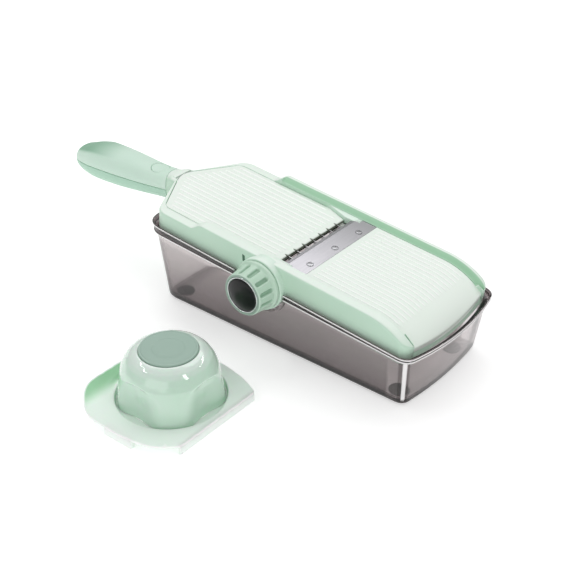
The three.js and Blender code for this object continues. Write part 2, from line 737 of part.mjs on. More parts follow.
// The tray's side view: a thin sheet whose back end curls up.
function traySheet() {
  const shape = new THREE.Shape();
  const under = trayTop - trayThickness;
  const knee = (trayBack + trayCurlStart) / 2;
  shape.moveTo(trayFront + 5, under);
  shape.lineTo(trayFront + 5, trayTop);
  shape.lineTo(trayCurlStart, trayTop);
  shape.quadraticCurveTo(knee, trayTop, trayBack - 4, trayTop + trayCurl);
  shape.lineTo(trayBack - 4, under + trayCurl);
  shape.quadraticCurveTo(knee, under, trayCurlStart, under);
  shape.closePath();
  return sideSlab(shape, -70, 70);
}

function makeTray() {
  const plan = slab(trayOutline(), -1, trayTop + trayCurl + 5);
  const bar = block(trayFront - trayBar, trayFront + 4, -70, 70, 0, trayTop - cupLip);
  const tabs = [tabInset - trayNear, trayFar - tabInset].map((y) => block(
    tabX - tabHalfLength, tabX + tabHalfLength, y - 2, y + 2, 0, tabHeight,
  ));
  const cup = turnedZ([
    [0, cupFloor - cupWall], [cupRadius - 2, cupFloor - cupWall], [cupRadius, cupFloor],
    [cupRadius, trayTop - cupLip],
    [0, trayTop - cupLip],
  ], 48);
  const collar = rodZ(plungerHole + cupWall, 0, cupFloor - cupLip, 0, 0, 40);
  const well = rodZ(cupRadius - cupWall, cupFloor, trayTop + 30, 0, 0, 48);
  const hole = rodZ(plungerHole, -1, trayTop, 0, 0, 40);
  const sheet = join(common(plan, join(traySheet(), bar, cup, collar)), ...tabs);
  return cut(sheet, well, hole);
}

// The finger flutes: four shallow scoops that fade out below the shoulder.
function fluted(geometry) {
  return warp(geometry, (x, y, z) => {
    const radius = Math.hypot(x, y);
    const swing = Math.abs(Math.cos(2 * Math.atan2(y, x))) * (Math.cos(4 * Math.atan2(y, x)) > 0 ? 1 : 0);
    const fade = THREE.MathUtils.clamp((fluteTop - z) / fluteFade, 0, 1);
    const scoop = ((swing - Math.SQRT1_2) / (1 - Math.SQRT1_2)) * fade;
    const factor = radius > postRadius * 2 ? 1 - (fluteDepth * Math.max(0, scoop)) / domeRadius : 1;
    return [x * factor, y * factor, z];
  });
}

function domeProfile(inset) {
  const radius = domeRadius - inset;
  const top = domeTop - inset;
  const shoulder = discRadius + 1.2;
  return [
    [radius, cupFloor + gap], [radius - 1.2, cupFloor + 10], [radius - 2.4, fluteTop - fluteFade],
    [radius - 3.4, fluteTop - 3], [radius - 4.6, fluteTop + 2], [radius - 8, top - 5.5],
    [radius - 12, top - 1.8], [shoulder - inset / 2, top],
  ];
}

function makeDome() {
  const outer = fluted(turnedZ([[0, cupFloor + gap], ...domeProfile(0), [0, domeTop]], 40));
  const lowest = cupFloor + gap;
  const inner = fluted(turnedZ(
    [[0, lowest - 2], [domeRadius - domeWall, lowest - 2], ...domeProfile(domeWall), [0, domeTop - domeWall]], 40,
  ));
  const post = rodZ(postRadius, pinPlateLow + pinPlateThickness + gap, domeTop - 1, 0, 0);
  const seat = rodZ(discRadius + gap, domeTop - discSink, domeTop + 5, 0, 0, 32);
  const screwHole = rodZ(screwRadius + pinGap, 0, pinPlateLow + 14, 0, 0, 16);
  return cut(join(cut(outer, inner), post), seat, screwHole);
}

function makeDisc() {
  const low = domeTop - discSink + gap;
  const high = low + discThickness;
  return turnedZ([
    [0, low], [discRadius, low], [discRadius, high - 0.6], [discRadius - 0.6, high],
    [discRadius - 1.4, high], [discRadius - 1.8, high - 0.3], [discRadius * 0.57, high - 0.3],
    [discRadius * 0.53, high - 0.7], [0, high - 0.9],
  ], 28);
}

function makePinPlate() {
  const top = pinPlateLow + pinPlateThickness;
  const plate = rodZ(pinPlateRadius, pinPlateLow, top, 0, 0, 32);
  const pins = pinRings.flatMap(([count, ring]) => Array.from({ length: count }, (_, i) => {
    const turn = (i + 0.5) * ((2 * Math.PI) / count);
    return new THREE.CylinderGeometry(pinRadius, 0.15, pinPlateLow - pinLow + 1, 8).rotateX(Math.PI / 2)
      .translate(ring * Math.cos(turn), ring * Math.sin(turn), (pinPlateLow + pinLow + 1) / 2);
  }));
  return cut(join(plate, ...pins), rodZ(screwRadius + pinGap, 0, top + 1, 0, 0, 16));
}

function makePinScrew() {
  const seat = pinPlateLow - gap;
  return turnedZ([
    [0, seat - 1.8], [screwHeadRadius - 0.8, seat - 1.8], [screwHeadRadius, seat - 1], [screwHeadRadius, seat],
    [screwRadius, seat], [screwRadius, seat + 12], [0, seat + 12.6],
  ], 12);
}

// ---- Assembly ----
function piece(name, geometry, look) {
  const bare = geometry.index ? geometry.toNonIndexed() : geometry;
  bare.deleteAttribute('uv');
  bare.computeVertexNormals();
  const mesh = new THREE.Mesh(bare, new THREE.MeshStandardMaterial(paint[look]));
  mesh.name = name;
  return mesh;
}

const box = new THREE.Group();
box.add(piece('container', makeBox(), 'smoke'));
footPlaces.forEach(([x, y], i) => {
  const foot = piece(`container_foot_${i + 1}`, rodZ(footRadius, 0, footHeight, 0, 0, 28), 'silicone');
  foot.position.set(x, y, 0);
  box.add(foot);
});

const deck = new THREE.Group();
deck.rotation.y = deckAngle;
deck.position.z = deckHeight;
deck.add(
  piece('slicer_frame', makeFrame(), 'mint'),
  piece('landing_deck', makeLandingDeck(), 'paleMint'),
  piece('blade_plate', makeBlade(), 'steel'),
  piece('ramp_plate', makeRamp(), 'paleMint'),
  piece('ramp_hinge_pin', rodY(
    hingePinRadius, -hingePinHalfLength, hingePinHalfLength, hingeX, hingeZ, 16,
  ), 'steel'),
  piece('julienne_comb', makeComb(), 'steel'),
  piece('julienne_carrier', makeCombCarrier(), 'nylon'),
);
rivets((y) => y).forEach((y, i) => {
  const rivet = piece(`blade_rivet_${i + 1}`, makeRivet(), 'steel');
  rivet.position.set(rivetX, y, 0);
  deck.add(rivet);
});

const knob = new THREE.Group();
knob.position.set(knobX, 0, knobZ);
knob.add(
  piece('thickness_knob', makeKnob(), 'mint'),
  piece('knob_ring', makeKnobRing(), 'chrome'),
  piece('knob_cap', makeKnobCap(), 'black'),
  piece('cam_shaft', makeShaft(), 'steel'),
  piece('knob_bush', makeBush(), 'nylon'),
  piece('thickness_cam_near', makeCam(-camOuter), 'nylon'),
  piece('thickness_cam_far', makeCam(camInner), 'nylon'),
  piece('shaft_clip', makeClip(), 'steel'),
);

const handle = new THREE.Group();
handle.add(
  piece('handle_grip_upper', makeGrip(), 'grip'),
  piece('handle_shell_lower', makeShell(), 'mint'),
  piece('thumb_plug', makePlug(), 'mint'),
);
screwPlaces.forEach((x, i) => handle.add(piece(`handle_screw_${i + 1}`, makeScrew(x), 'steel')));

const guard = new THREE.Group();
guard.position.set(guardX, guardY, 0);
guard.add(
  piece('guard_tray', makeTray(), 'paleMint'),
  piece('plunger_dome', makeDome(), 'gloss'),
  piece('plunger_disc', makeDisc(), 'sage'),
  piece('food_pin_plate', makePinPlate(), 'nylon'),
  piece('pin_plate_screw', makePinScrew(), 'steel'),
);

// The origin is the middle of the whole assembly's footprint, on the surface it stands on.
const assembly = new THREE.Group();
assembly.add(box, deck, knob, handle, guard);
assembly.updateMatrixWorld(true);
const bounds = new THREE.Box3().setFromObject(assembly, true);
const middle = bounds.getCenter(new THREE.Vector3());
assembly.position.set(-middle.x, -middle.y, -bounds.min.z);

const mandoline = new THREE.Group();
mandoline.add(assembly);
export default mandoline;
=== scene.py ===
import math

import bmesh
import bpy
import numpy as np
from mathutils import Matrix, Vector


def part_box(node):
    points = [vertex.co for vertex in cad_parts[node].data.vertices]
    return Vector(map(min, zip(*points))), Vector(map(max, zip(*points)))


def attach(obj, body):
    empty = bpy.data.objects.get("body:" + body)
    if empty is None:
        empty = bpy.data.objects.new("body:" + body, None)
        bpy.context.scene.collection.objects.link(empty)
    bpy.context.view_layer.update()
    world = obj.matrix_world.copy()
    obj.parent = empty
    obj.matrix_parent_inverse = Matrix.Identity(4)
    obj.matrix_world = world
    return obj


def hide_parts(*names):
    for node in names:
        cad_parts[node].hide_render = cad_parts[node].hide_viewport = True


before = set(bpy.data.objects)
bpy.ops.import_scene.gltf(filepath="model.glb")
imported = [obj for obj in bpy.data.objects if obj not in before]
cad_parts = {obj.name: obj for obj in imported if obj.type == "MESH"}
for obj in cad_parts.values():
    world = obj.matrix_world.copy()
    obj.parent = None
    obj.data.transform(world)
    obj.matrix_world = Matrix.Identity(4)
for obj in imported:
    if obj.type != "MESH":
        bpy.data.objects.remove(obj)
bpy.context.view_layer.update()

# Everything below is worked out in millimetres about the middle of the deck, where X = 0 lies on the deck's
# centre line, the knob is on the -Y side and Z = 0 is the table. place() moves it into the model's frame.
boxLow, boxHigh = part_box("container")
originPoint = np.array([boxLow.x * 1000 + 104.7, (boxLow.y + boxHigh.y) * 500, boxLow.z * 1000 - 1.0])

deck = {"slope": 0.093, "height": 74.0, "bendStart": 98.0, "bendRadius": 55.0}
deckCos = 1 / math.hypot(1, deck["slope"])
deckSin = deck["slope"] * deckCos


# A point in the deck's own sloping coordinates, turned by the slope about Y and lifted to the deck's height.
def fromDeck(p):
    x = p[..., 0] * deckCos + p[..., 2] * deckSin
    z = deck["height"] - p[..., 0] * deckSin + p[..., 2] * deckCos
    return np.stack([x, p[..., 1], z], -1)


def place(p):
    return (p + originPoint) / 1000  # millimetres to metres, in the model's frame


# 0 below the start, 1 past the end, and a smooth cubic between them.
def smooth(value, start, end):
    t = np.clip((value - start) / (end - start), 0, 1)
    return t * t * (3 - 2 * t)


# Quads of a grid of rows by columns; either way may wrap round to its own start.
def gridQuads(rows, cols, wrapRows, wrapCols):
    r, c = np.meshgrid(np.arange(rows - (not wrapRows)), np.arange(cols - (not wrapCols)), indexing="ij")
    r2, c2 = (r + 1) % rows, (c + 1) % cols
    return np.stack([r * cols + c, r2 * cols + c, r2 * cols + c2, r * cols + c2], -1).reshape(-1, 4)


# One closed piece from a grid of points: the columns wrap round, and the end rows are capped or meet in a
# point. Marks are values per grid point that the finish reads by name; one more mark, how far each point
# faces up, sets how much painted top light it gets.
def gridPiece(
        name, points, material, body, stands=(), wrapRows=False, wrapCols=True, caps=True, crease=40,
        extra=(), marks=None):
    grids = [(points, wrapRows, wrapCols, caps), *extra]
    mesh = bpy.data.meshes.new(name)
    verts, faces, start = [], [], 0
    for grid, aroundRows, aroundCols, ends in grids:
        rows, cols = grid.shape[:2]
        verts.append(place(grid.reshape(-1, 3)))
        faces += (gridQuads(rows, cols, aroundRows, aroundCols) + start).tolist()
        if ends:
            faces.append((np.arange(cols)[::-1] + start).tolist())
            faces.append((np.arange(cols) + start + (rows - 1) * cols).tolist())
        start += rows * cols
    mesh.from_pydata(np.concatenate(verts).tolist(), [], faces)
    for label, values in (marks or {}).items():
        padded = np.zeros(start, np.float32)
        padded[:values.size] = values.ravel()
        mesh.attributes.new(label, "FLOAT", "POINT").data.foreach_set("value", padded)
    tidy = bmesh.new()
    tidy.from_mesh(mesh)
    bmesh.ops.remove_doubles(tidy, verts=tidy.verts, dist=2e-6)
    bmesh.ops.dissolve_degenerate(tidy, dist=1e-6, edges=tidy.edges)
    bmesh.ops.recalc_face_normals(tidy, faces=tidy.faces)
    tidy.to_mesh(mesh)
    tidy.free()
    mesh.shade_smooth()
    mesh.set_sharp_from_angle(angle=math.radians(crease))
    facing = np.zeros(len(mesh.vertices) * 3, np.float32)
    mesh.vertex_normals.foreach_get("vector", facing)
    mesh.attributes.new("paintedTopLight", "FLOAT", "POINT").data.foreach_set("value", facing[2::3].copy())
    mesh.materials.append(material)
    piece = bpy.data.objects.new(name, mesh)
    bpy.context.scene.collection.objects.link(piece)
    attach(piece, body)
    if stands:
        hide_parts(*stands)


# Rounded corners: each [x, y, setback] becomes a quadratic curve of arcs[i] steps, and the straight run to
# the next corner is cut at the given fractions.
def roundedLoop(corners, arcs, runs, closed=True):
    found = []
    count = len(corners)
    c = np.array([k[:2] for k in corners], float)
    for i, (x, y, setback) in enumerate(corners):
        here = c[i]
        back, ahead = c[i - 1] - here, c[(i + 1) % count] - here
        enter = here + back / np.hypot(*back) * setback
        leave = here + ahead / np.hypot(*ahead) * setback
        t = np.linspace(0, 1, arcs[i] + 1)[:, None]
        if not closed and i == 0:
            found.append(leave[None])
        elif not closed and i == count - 1:
            found.append(enter[None])
            break
        else:
            found.append((1 - t) ** 2 * enter + 2 * t * (1 - t) * here + t * t * leave)
        following = c[(i + 1) % count]
        nextBack = here - following
        nextEnter = following + nextBack / np.hypot(*nextBack) * corners[(i + 1) % count][2]
        f = np.array(runs[i], float)[:, None]
        if len(f):
            found.append(leave + (nextEnter - leave) * f)
    return np.concatenate(found)


# Even fractions of a run, without its ends.
def steps(count):
    return np.arange(1, count) / count


# Points at a distance and an angle round an upright axis.
def around(centre, radius, angles, height):
    radius, angles, height = np.broadcast_arrays(radius, angles, height)
    return np.stack([centre[0] + radius * np.cos(angles), centre[1] + radius * np.sin(angles), height], -1)


# A profile of (radius, height) turned about an upright axis.
def turnedUp(profile, centre, count):
    profile = np.array(profile, float)
    return around(centre, profile[:, :1], np.linspace(0, 2 * math.pi, count, endpoint=False), profile[:, 1:])


# Feeds a node's inputs by label or number: a number or colour is set, and a socket is linked.
def feed(tree, node, inputs):
    for label, value in inputs.items():
        if isinstance(value, (int, float, tuple)):
            node.inputs[label].default_value = value
        else:
            tree.links.new(value, node.inputs[label])


# Adds a node, sets its fields, and feeds its inputs.
def addNode(tree, kind, inputs={}, **fields):
    node = tree.nodes.new("ShaderNode" + kind)
    for field, value in fields.items():
        setattr(node, field, value)
    feed(tree, node, inputs)
    return node


def mathNode(tree, operation, first, second, clamp=False):
    return addNode(tree, "Math", {0: first, 1: second}, operation=operation, use_clamp=clamp).outputs[0]


def mixColour(tree, factor, first, second):
    return addNode(tree, "Mix", {0: factor, 6: first, 7: second}, data_type="RGBA").outputs[2]


def mapRange(tree, value, fromMin, fromMax, toMin, toMax):
    ends = {"From Min": fromMin, "From Max": fromMax, "To Min": toMin, "To Max": toMax}
    return addNode(tree, "MapRange", {"Value": value, **ends}).outputs["Result"]


def addBump(tree, shader, height, strength, distance):
    bump = addNode(tree, "Bump", {"Height": height, "Strength": strength, "Distance": distance})
    feed(tree, shader, {"Normal": bump.outputs["Normal"]})


# A node group: an input is a vector, a colour or a number by its default, and an output is of the kind given.
def newGroup(name, inputs, outputs):
    group = bpy.data.node_groups.new(name, "ShaderNodeTree")
    for label, value in inputs.items():
        kind = "Vector" if value is None else "Color" if isinstance(value, tuple) else "Float"
        socket = group.interface.new_socket(name=label, in_out="INPUT", socket_type="NodeSocket" + kind)
        if value is not None:
            socket.default_value = value
    for label, kind in outputs.items():
        group.interface.new_socket(name=label, in_out="OUTPUT", socket_type="NodeSocket" + kind)
    return group, group.nodes.new("NodeGroupInput").outputs, group.nodes.new("NodeGroupOutput")


# Moulded grain: a fine noise for the skin of the mould plus a broad, faint waviness. Puts out a height, and a
# tone mask that drifts slowly over the piece.
def makeGrainGroup():
    group, given, end = newGroup(
        "mouldedGrain", {"Vector": None, "Fine Scale": 2500.0, "Broad Scale": 18.0, "Wave": 0.4},
        {"Height": "Float", "Tone": "Float"})
    fine = addNode(
        group, "TexNoise",
        {"Vector": given["Vector"], "Scale": given["Fine Scale"], "Detail": 3.0, "Roughness": 0.6}
    ).outputs["Fac"]
    broad = addNode(group, "TexNoise", {
        "Vector": given["Vector"], "Scale": given["Broad Scale"], "Detail": 2.0}).outputs["Fac"]
    wave = mathNode(group, "MULTIPLY", broad, given["Wave"])
    feed(group, end, {"Height": mathNode(group, "ADD", fine, wave), "Tone": broad})
    return group


# Brushed lines: noise stretched a hundred times along one axis, so it reads as fine parallel scratches.
def makeBrushGroup():
    group, given, end = newGroup(
        "brushedLines", {"Vector": None, "Lines": 900.0}, {"Height": "Float", "Mask": "Float"})
    lines = addNode(group, "TexNoise", {
        "Vector": given["Vector"], "Scale": given["Lines"], "Detail": 5.0, "Roughness": 0.7}).outputs["Fac"]
    feed(group, end, {"Height": lines, "Mask": mapRange(group, lines, 0.35, 0.65, 0, 1)})
    return group


# Painted edge highlight: a moulding's arrises are made paler in colour, where its corners would catch the
# light.
def makeEdgeHighlightGroup():
    white = (1.0, 1.0, 1.0, 1.0)
    group, given, end = newGroup(
        "paintedEdgeHighlight", {"Colour": white, "Edge Colour": white, "Low": 0.51, "High": 0.58, "Amount": 0.4},
        {"Colour": "Color", "Mask": "Float"})
    corner = addNode(group, "NewGeometry").outputs["Pointiness"]
    ramp = mapRange(group, corner, given["Low"], given["High"], 0, 1)
    mask = mathNode(group, "MULTIPLY", ramp, given["Amount"], True)
    feed(group, end, {"Colour": mixColour(group, mask, given["Colour"], given["Edge Colour"]), "Mask": mask})
    return group


grainGroup = makeGrainGroup()
brushGroup = makeBrushGroup()
edgeHighlightGroup = makeEdgeHighlightGroup()


# sRGB bytes to the linear colour a socket wants.
def tint(red, green, blue):
    c = np.array([red, green, blue]) / 255
    linear = np.where(c <= 0.04045, c / 12.92, ((c + 0.055) / 1.055) ** 2.4)
    return (*linear.tolist(), 1.0)


def startMaterial(name):
    material = bpy.data.materials.new(name)
    material.use_nodes = True
    tree = material.node_tree
    shader = next(n for n in tree.nodes if n.type == "BSDF_PRINCIPLED")
    return material, tree, shader, addNode(tree, "TexCoord").outputs["Object"]


def addGrain(tree, vector, fine, broad, wave):
    inputs = {"Vector": vector, "Fine Scale": fine, "Broad Scale": broad, "Wave": wave}
    return addNode(tree, "Group", inputs, node_tree=grainGroup).outputs


# How much of a named mark on the mesh tells, as it rises through a span.
def addMark(tree, label, span, amount):
    mark = addNode(tree, "Attribute", attribute_name=label).outputs["Fac"]
    return mapRange(tree, mark, *span, 0, amount)


# A moulded plastic: base colour drifting between two tones, the marks' painted top light, rib-top highlight
# and shade mixed in by their amounts, a painted edge highlight, and grain in the bump and the roughness.
def mouldedPlastic(name, look):
    look = {**plainPlastic, **look}
    material, tree, shader, objectCoords = startMaterial(name)
    grain = addGrain(tree, objectCoords, look["fine"], look["broad"], look["wave"])
    tone = mapRange(tree, grain["Tone"], 0.35, 0.65, 0, 1)
    colour = mixColour(tree, tone, tint(*look["colour"]), tint(*look["drift"]))
    for label, span in markSpans.items():
        if label in look:
            amount = addMark(tree, label, span, look.get(label + "Amount", 1.0))
            colour = mixColour(tree, amount, colour, tint(*look[label]))
    edge = addNode(tree, "Group", node_tree=edgeHighlightGroup)
    feed(tree, edge, {"Colour": colour, "Edge Colour": tint(*look["edge"]), "Amount": look["edgeHighlightAmount"]})
    feed(tree, shader, {
        "Base Color": edge.outputs["Colour"],
        "Roughness": mapRange(tree, grain["Height"], 0.4, 0.9, look["rough"] - 0.04, look["rough"] + 0.05),
        "Coat Weight": look["coat"], "Coat Roughness": look["coatRough"], "Subsurface Weight": look["soft"],
        "Subsurface Radius": (0.6, 1.0, 0.7), "Subsurface Scale": look["softScale"],
        "Specular IOR Level": look["specular"],
    })
    addBump(tree, shader, grain["Height"], look["bump"], look["bumpDepth"])
    return material


markSpans = {"paintedTopLight": (0.55, 0.93), "crestHighlight": (0.15, 0.9), "shade": (0.0, 1.0)}
plainPlastic = {
    "edgeHighlightAmount": 0.4, "rough": 0.4, "fine": 2600.0, "broad": 20.0, "wave": 0.3, "bump": 0.1,
    "bumpDepth": 0.00005, "coat": 0.0, "coatRough": 0.1, "soft": 0.0, "softScale": 0.002, "specular": 0.5,
}
# In each look, edge is the painted highlight at the arrises, and the mark colours are painted light and
# shade: a paler top where faces look up, a bright highlight on rib tops and rims, and shade in recesses,
# notches and shaded faces.
plasticLooks = {
    "mintBody": dict(colour=(196, 224, 204), drift=(192, 221, 201), edge=(226, 246, 233), edgeHighlightAmount=0.5,
        rough=0.36, broad=14.0, bump=0.12, soft=0.08, paintedTopLight=(236, 247, 238), paintedTopLightAmount=0.92,
        shade=(146, 200, 160), shadeAmount=0.85),
    "knobMint": dict(colour=(190, 218, 198), drift=(185, 214, 193), edge=(236, 249, 240), edgeHighlightAmount=0.5,
        rough=0.3, broad=14.0, soft=0.05, shade=(112, 156, 126), shadeAmount=0.6),
    "paleDeck": dict(colour=(237, 246, 238), drift=(235, 245, 236), edge=(247, 252, 248), edgeHighlightAmount=0.2,
        broad=12.0, soft=0.05, crestHighlight=(250, 254, 250), shade=(92, 98, 80), shadeAmount=0.95),
    "softGrip": dict(colour=(208, 232, 217), drift=(204, 229, 214), edge=(228, 243, 233), rough=0.55,
        fine=3400.0, broad=22.0, bump=0.3, bumpDepth=0.00006, shade=(128, 174, 146), shadeAmount=0.9,
        soft=0.05),
    "gripShell": dict(colour=(176, 214, 192), drift=(172, 210, 188), edge=(205, 234, 216), bump=0.12),
    "paleGuard": dict(colour=(222, 241, 227), drift=(217, 239, 223), edge=(250, 254, 251), edgeHighlightAmount=0.7,
        rough=0.3, fine=2400.0, broad=16.0, bump=0.08, soft=0.25, softScale=0.004, paintedTopLight=(238, 249, 241),
        paintedTopLightAmount=0.8, crestHighlight=(253, 255, 253), shade=(150, 206, 162), shadeAmount=0.8),
    "glossDome": dict(colour=(206, 231, 214), drift=(198, 227, 207), edge=(240, 250, 243), rough=0.08,
        fine=1500.0, broad=16.0, wave=0.4, bump=0.03, paintedTopLight=(232, 246, 237), paintedTopLightAmount=0.7, soft=0.3,
        softScale=0.005, coat=0.8, coatRough=0.04),
    "sageDisc": dict(colour=(159, 184, 171), drift=(155, 181, 168), edge=(186, 208, 196), edgeHighlightAmount=0.5,
        rough=0.45, fine=2800.0, broad=24.0, bump=0.2),
    "greyGreen": dict(colour=(140, 165, 150), drift=(135, 160, 146), edge=(178, 200, 187), edgeHighlightAmount=0.5,
        rough=0.35, broad=30.0),
    "whiteNylon": dict(colour=(226, 228, 222), drift=(220, 223, 216), edge=(244, 245, 241), rough=0.5,
        fine=1800.0, wave=0.4, bump=0.15, bumpDepth=0.00006, soft=0.1),
    # Painted shade: near black so the carrier under the slot reads as the slot's shadow.
    "slotShadowNylon": dict(colour=(22, 24, 23), drift=(30, 32, 30), edge=(52, 56, 53), edgeHighlightAmount=0.5,
        rough=0.45, fine=1800.0, wave=0.4, bump=0.15, bumpDepth=0.00006),
    "siliconeFoot": dict(colour=(132, 126, 127), drift=(124, 118, 119), edge=(160, 154, 155), rough=0.62,
        fine=3000.0, broad=30.0, wave=0.4, bump=0.25, bumpDepth=0.00006),
    "blackCap": dict(colour=(10, 11, 11), drift=(14, 15, 15), edge=(70, 74, 78), rough=0.22, fine=1200.0,
        broad=26.0, wave=0.4, bump=0.02, bumpDepth=0.00004, specular=0.3),
    # Painted shade: near black for the sheet that stands in for the shadow in the slot.
    "slotShadow": dict(colour=(9, 11, 9), drift=(13, 15, 12), edge=(30, 34, 30), edgeHighlightAmount=0.3, rough=0.6,
        fine=1800.0, wave=0.4, specular=0.15),
    # Painted shade: the dark green of the parting gap and of the pointer's notch.
    "grooveShade": dict(colour=(64, 104, 80), drift=(58, 96, 74), edge=(90, 130, 105), edgeHighlightAmount=0.3,
        rough=0.6, broad=30.0),
}
plastics = {name: mouldedPlastic(name, look) for name, look in plasticLooks.items()}


# Metal: brushed lines along one axis in the roughness, the colour and a faint bump.
# A fade is (first Y, last Y, colour) in metres, mixed in evenly between the two: a painted reflection that
# grows darker towards the last Y.
def brushedMetal(name, colour, dark, rough, stretch, bump=0.03, fade=None):
    material, tree, shader, objectCoords = startMaterial(name)
    stretched = addNode(tree, "Mapping", {"Vector": objectCoords, "Scale": stretch}).outputs["Vector"]
    brush = addNode(tree, "Group", node_tree=brushGroup)
    feed(tree, brush, {"Vector": stretched, "Lines": 900.0})
    mask = brush.outputs["Mask"]
    steel = mixColour(tree, mask, tint(*dark), tint(*colour))
    if fade:
        first, last, far = fade
        acrossY = addNode(tree, "SeparateXYZ", {"Vector": objectCoords}).outputs["Y"]
        steel = mixColour(tree, mapRange(tree, acrossY, first, last, 0, 0.9), steel, tint(*far))
    polish = mapRange(tree, mask, 0, 1, rough + 0.06, rough - 0.05)
    feed(tree, shader, {"Base Color": steel, "Roughness": polish, "Metallic": 1.0})
    addBump(tree, shader, brush.outputs["Height"], bump, 0.00002)
    return material


# Painted reflection: the blade and the rivets grow darker towards the far end, where the sheen falls off.
farReflectionFade = (0.04, 0.11, (150, 150, 152))
bladeSteel = brushedMetal(
    "bladeSteel", (206, 204, 209), (198, 197, 202), 0.34, (1.0, 0.03, 1.0), fade=farReflectionFade)
rivetSteel = brushedMetal("rivetSteel", (190, 190, 193), (178, 178, 182), 0.3, (1.0, 1.0, 0.2), fade=farReflectionFade)
polishedSteel = brushedMetal("polishedSteel", (222, 222, 224), (205, 205, 208), 0.16, (1.0, 0.25, 0.25))
chromeRing = brushedMetal("chromeRing", (240, 240, 242), (228, 228, 231), 0.08, (0.4, 1.0, 0.4), 0.02)


# Smoke-clear plastic: tinted glass with faint flow lines of the mould. Shadow rays pass with the tint, so
# what is inside the box is not left in shadow. One mark paints a bright highlight on a bead or corner, and
# the
# "dark" mark paints shade beside it and low down the long sides.
def smokeClear(name, look):
    material, tree, shader, objectCoords = startMaterial(name)
    grain = addGrain(tree, objectCoords, look["fine"], look["broad"], 1.0)
    tone = mapRange(tree, grain["Tone"], 0.3, 0.7, 0, 1)
    skin = mixColour(tree, tone, tint(*look["colour"]), tint(*look["drift"]))
    paintedHighlight, dark = [addMark(tree, label, (0.25, 0.9), look[label + "Amount"]) for label in ("paintedHighlight", "dark")]
    feed(tree, shader, {
        "Base Color": mixColour(tree, dark, skin, tint(*look["paintedShadeColour"])),
        "Roughness": mapRange(tree, grain["Height"], 0.5, 1.4, look["rough"], look["rough"] + 0.03),
        "Transmission Weight": 1.0, "IOR": look["ior"],
    })
    addBump(tree, shader, grain["Tone"], 0.05, 0.0002)
    smoke = addNode(tree, "VolumeAbsorption", {"Color": look["smoke"], "Density": look["density"]})
    bright = addNode(tree, "BsdfPrincipled", {"Base Color": tint(*look["paintedHighlightColour"]), "Roughness": 0.15})
    clear = addNode(tree, "BsdfTransparent", {"Color": tint(*look["shadow"])})
    body = addNode(tree, "MixShader", {0: paintedHighlight, 1: shader.outputs["BSDF"], 2: bright.outputs["BSDF"]})
    inShadow = addNode(tree, "LightPath").outputs["Is Shadow Ray"]
    mix = addNode(tree, "MixShader", {0: inShadow, 1: body.outputs["Shader"], 2: clear.outputs["BSDF"]})
    output = next(n for n in tree.nodes if n.type == "OUTPUT_MATERIAL")
    feed(tree, output, {"Surface": mix.outputs["Shader"], "Volume": smoke.outputs["Volume"]})
    return material


smokeBox = smokeClear(
    "smokeBox",
    {
        "colour": (252, 250, 250), "drift": (248, 246, 246), "shadow": (222, 216, 217), "rough": 0.008,
        "ior": 1.5, "fine": 300.0, "broad": 9.0, "smoke": (0.565, 0.508, 0.512, 1.0), "density": 225.0,
        "paintedHighlightColour": (250, 248, 248), "paintedHighlightAmount": 0.85, "paintedShadeColour": (84, 68, 70), "darkAmount": 0.9
    })
print("finishes made")

catchBox = {
    "halfWidth": 53.8, "start": -102.5, "end": 133.2, "bow": 7.0, "baseBow": 3.4, "startRadius": 15.0,
    "endRadius": 8.0, "bottom": 1.0, "floor": 3.5, "wall": 2.2, "sideDraft": 6.8, "endDraft": 4.5,
    "rim": 59.26, "lip": 52.7, "lipSlope": 0.0755, "baseRound": 3.2, "notchX": 7.1, "notchZ": 57.6,
    "notchRadius": 22.5, "beadFrom": 2.05, "cornerX": 2.3, "cornerHighlight": 1.6, "cornerShade": 4.2,
    "lipBead": [
        (0.12, -0.35), (0.45, -0.08), (1.0, 0.0), (1.7, 0.12), (2.08, 0.5), (2.2, 1.0), (2.08, 1.5),
        (1.75, 1.85), (1.5, 2.1), (1.42, 2.5)],
    "rimBead": [
        (1.42, -2.3), (1.5, -1.95), (1.8, -1.65), (2.12, -1.25), (2.2, -0.8), (2.08, -0.35), (1.75, -0.06),
        (1.4, 0.0), (1.1, -0.08), (0.9, -0.35), (0.84, -0.8), (0.8, -3.0), (0.7, -3.35), (0.4, -3.5)],
    "seatLedge": [(-1.5, -3.5), (-1.95, -3.62), (-2.15, -3.95), (-2.2, -4.5)],
}


# The rim and the underside of its lip each fall evenly along X.
def rimTop(x):
    return catchBox["rim"] - deck["slope"] * x


def lipUnder(x):
    return catchBox["lip"] - catchBox["lipSlope"] * x


# The box's outline drawn in by inset: two long sides, rounded ends and a bowed nose. Columns crowd at the
# notch.
def boxOutline(inset):
    b = catchBox
    half = b["halfWidth"] - inset
    first, last = b["start"] + b["startRadius"], b["end"] - b["endRadius"]
    angles = np.linspace(-math.pi / 2, math.pi / 2, 41)
    notch = b["notchX"] + b["notchRadius"] * np.sin(angles)
    notch = np.concatenate([notch[:1] - 0.02, notch, notch[-1:] + 0.02])
    near = np.concatenate(
        [np.linspace(first, notch[0], 22)[1:-1], notch, np.linspace(notch[-1], last, 26)[1:-1]])
    corners = [
        [b["start"] + inset, -half, b["startRadius"] - inset],
        [b["end"] - inset, -half, b["endRadius"] - inset / 2],
        [b["end"] - inset + 1.74 * b["bow"], 0, 0.8 * half],
        [b["end"] - inset, half, b["endRadius"] - inset / 2],
        [b["start"] + inset, half, b["startRadius"] - inset]]
    fractions = (near - first) / (last - first)
    plan = roundedLoop(corners, [14, 12, 26, 12, 14], [fractions, steps(3), steps(3), steps(60), steps(24)])
    atNotch = np.zeros(len(plan), bool)
    before = 36  # the first corner's 15 points, then 21 up to the notch
    atNotch[before: before + len(angles)] = True
    level = np.full(len(plan), 999.0)
    level[atNotch] = b["notchZ"] - b["notchRadius"] * np.cos(angles)
    return plan, level


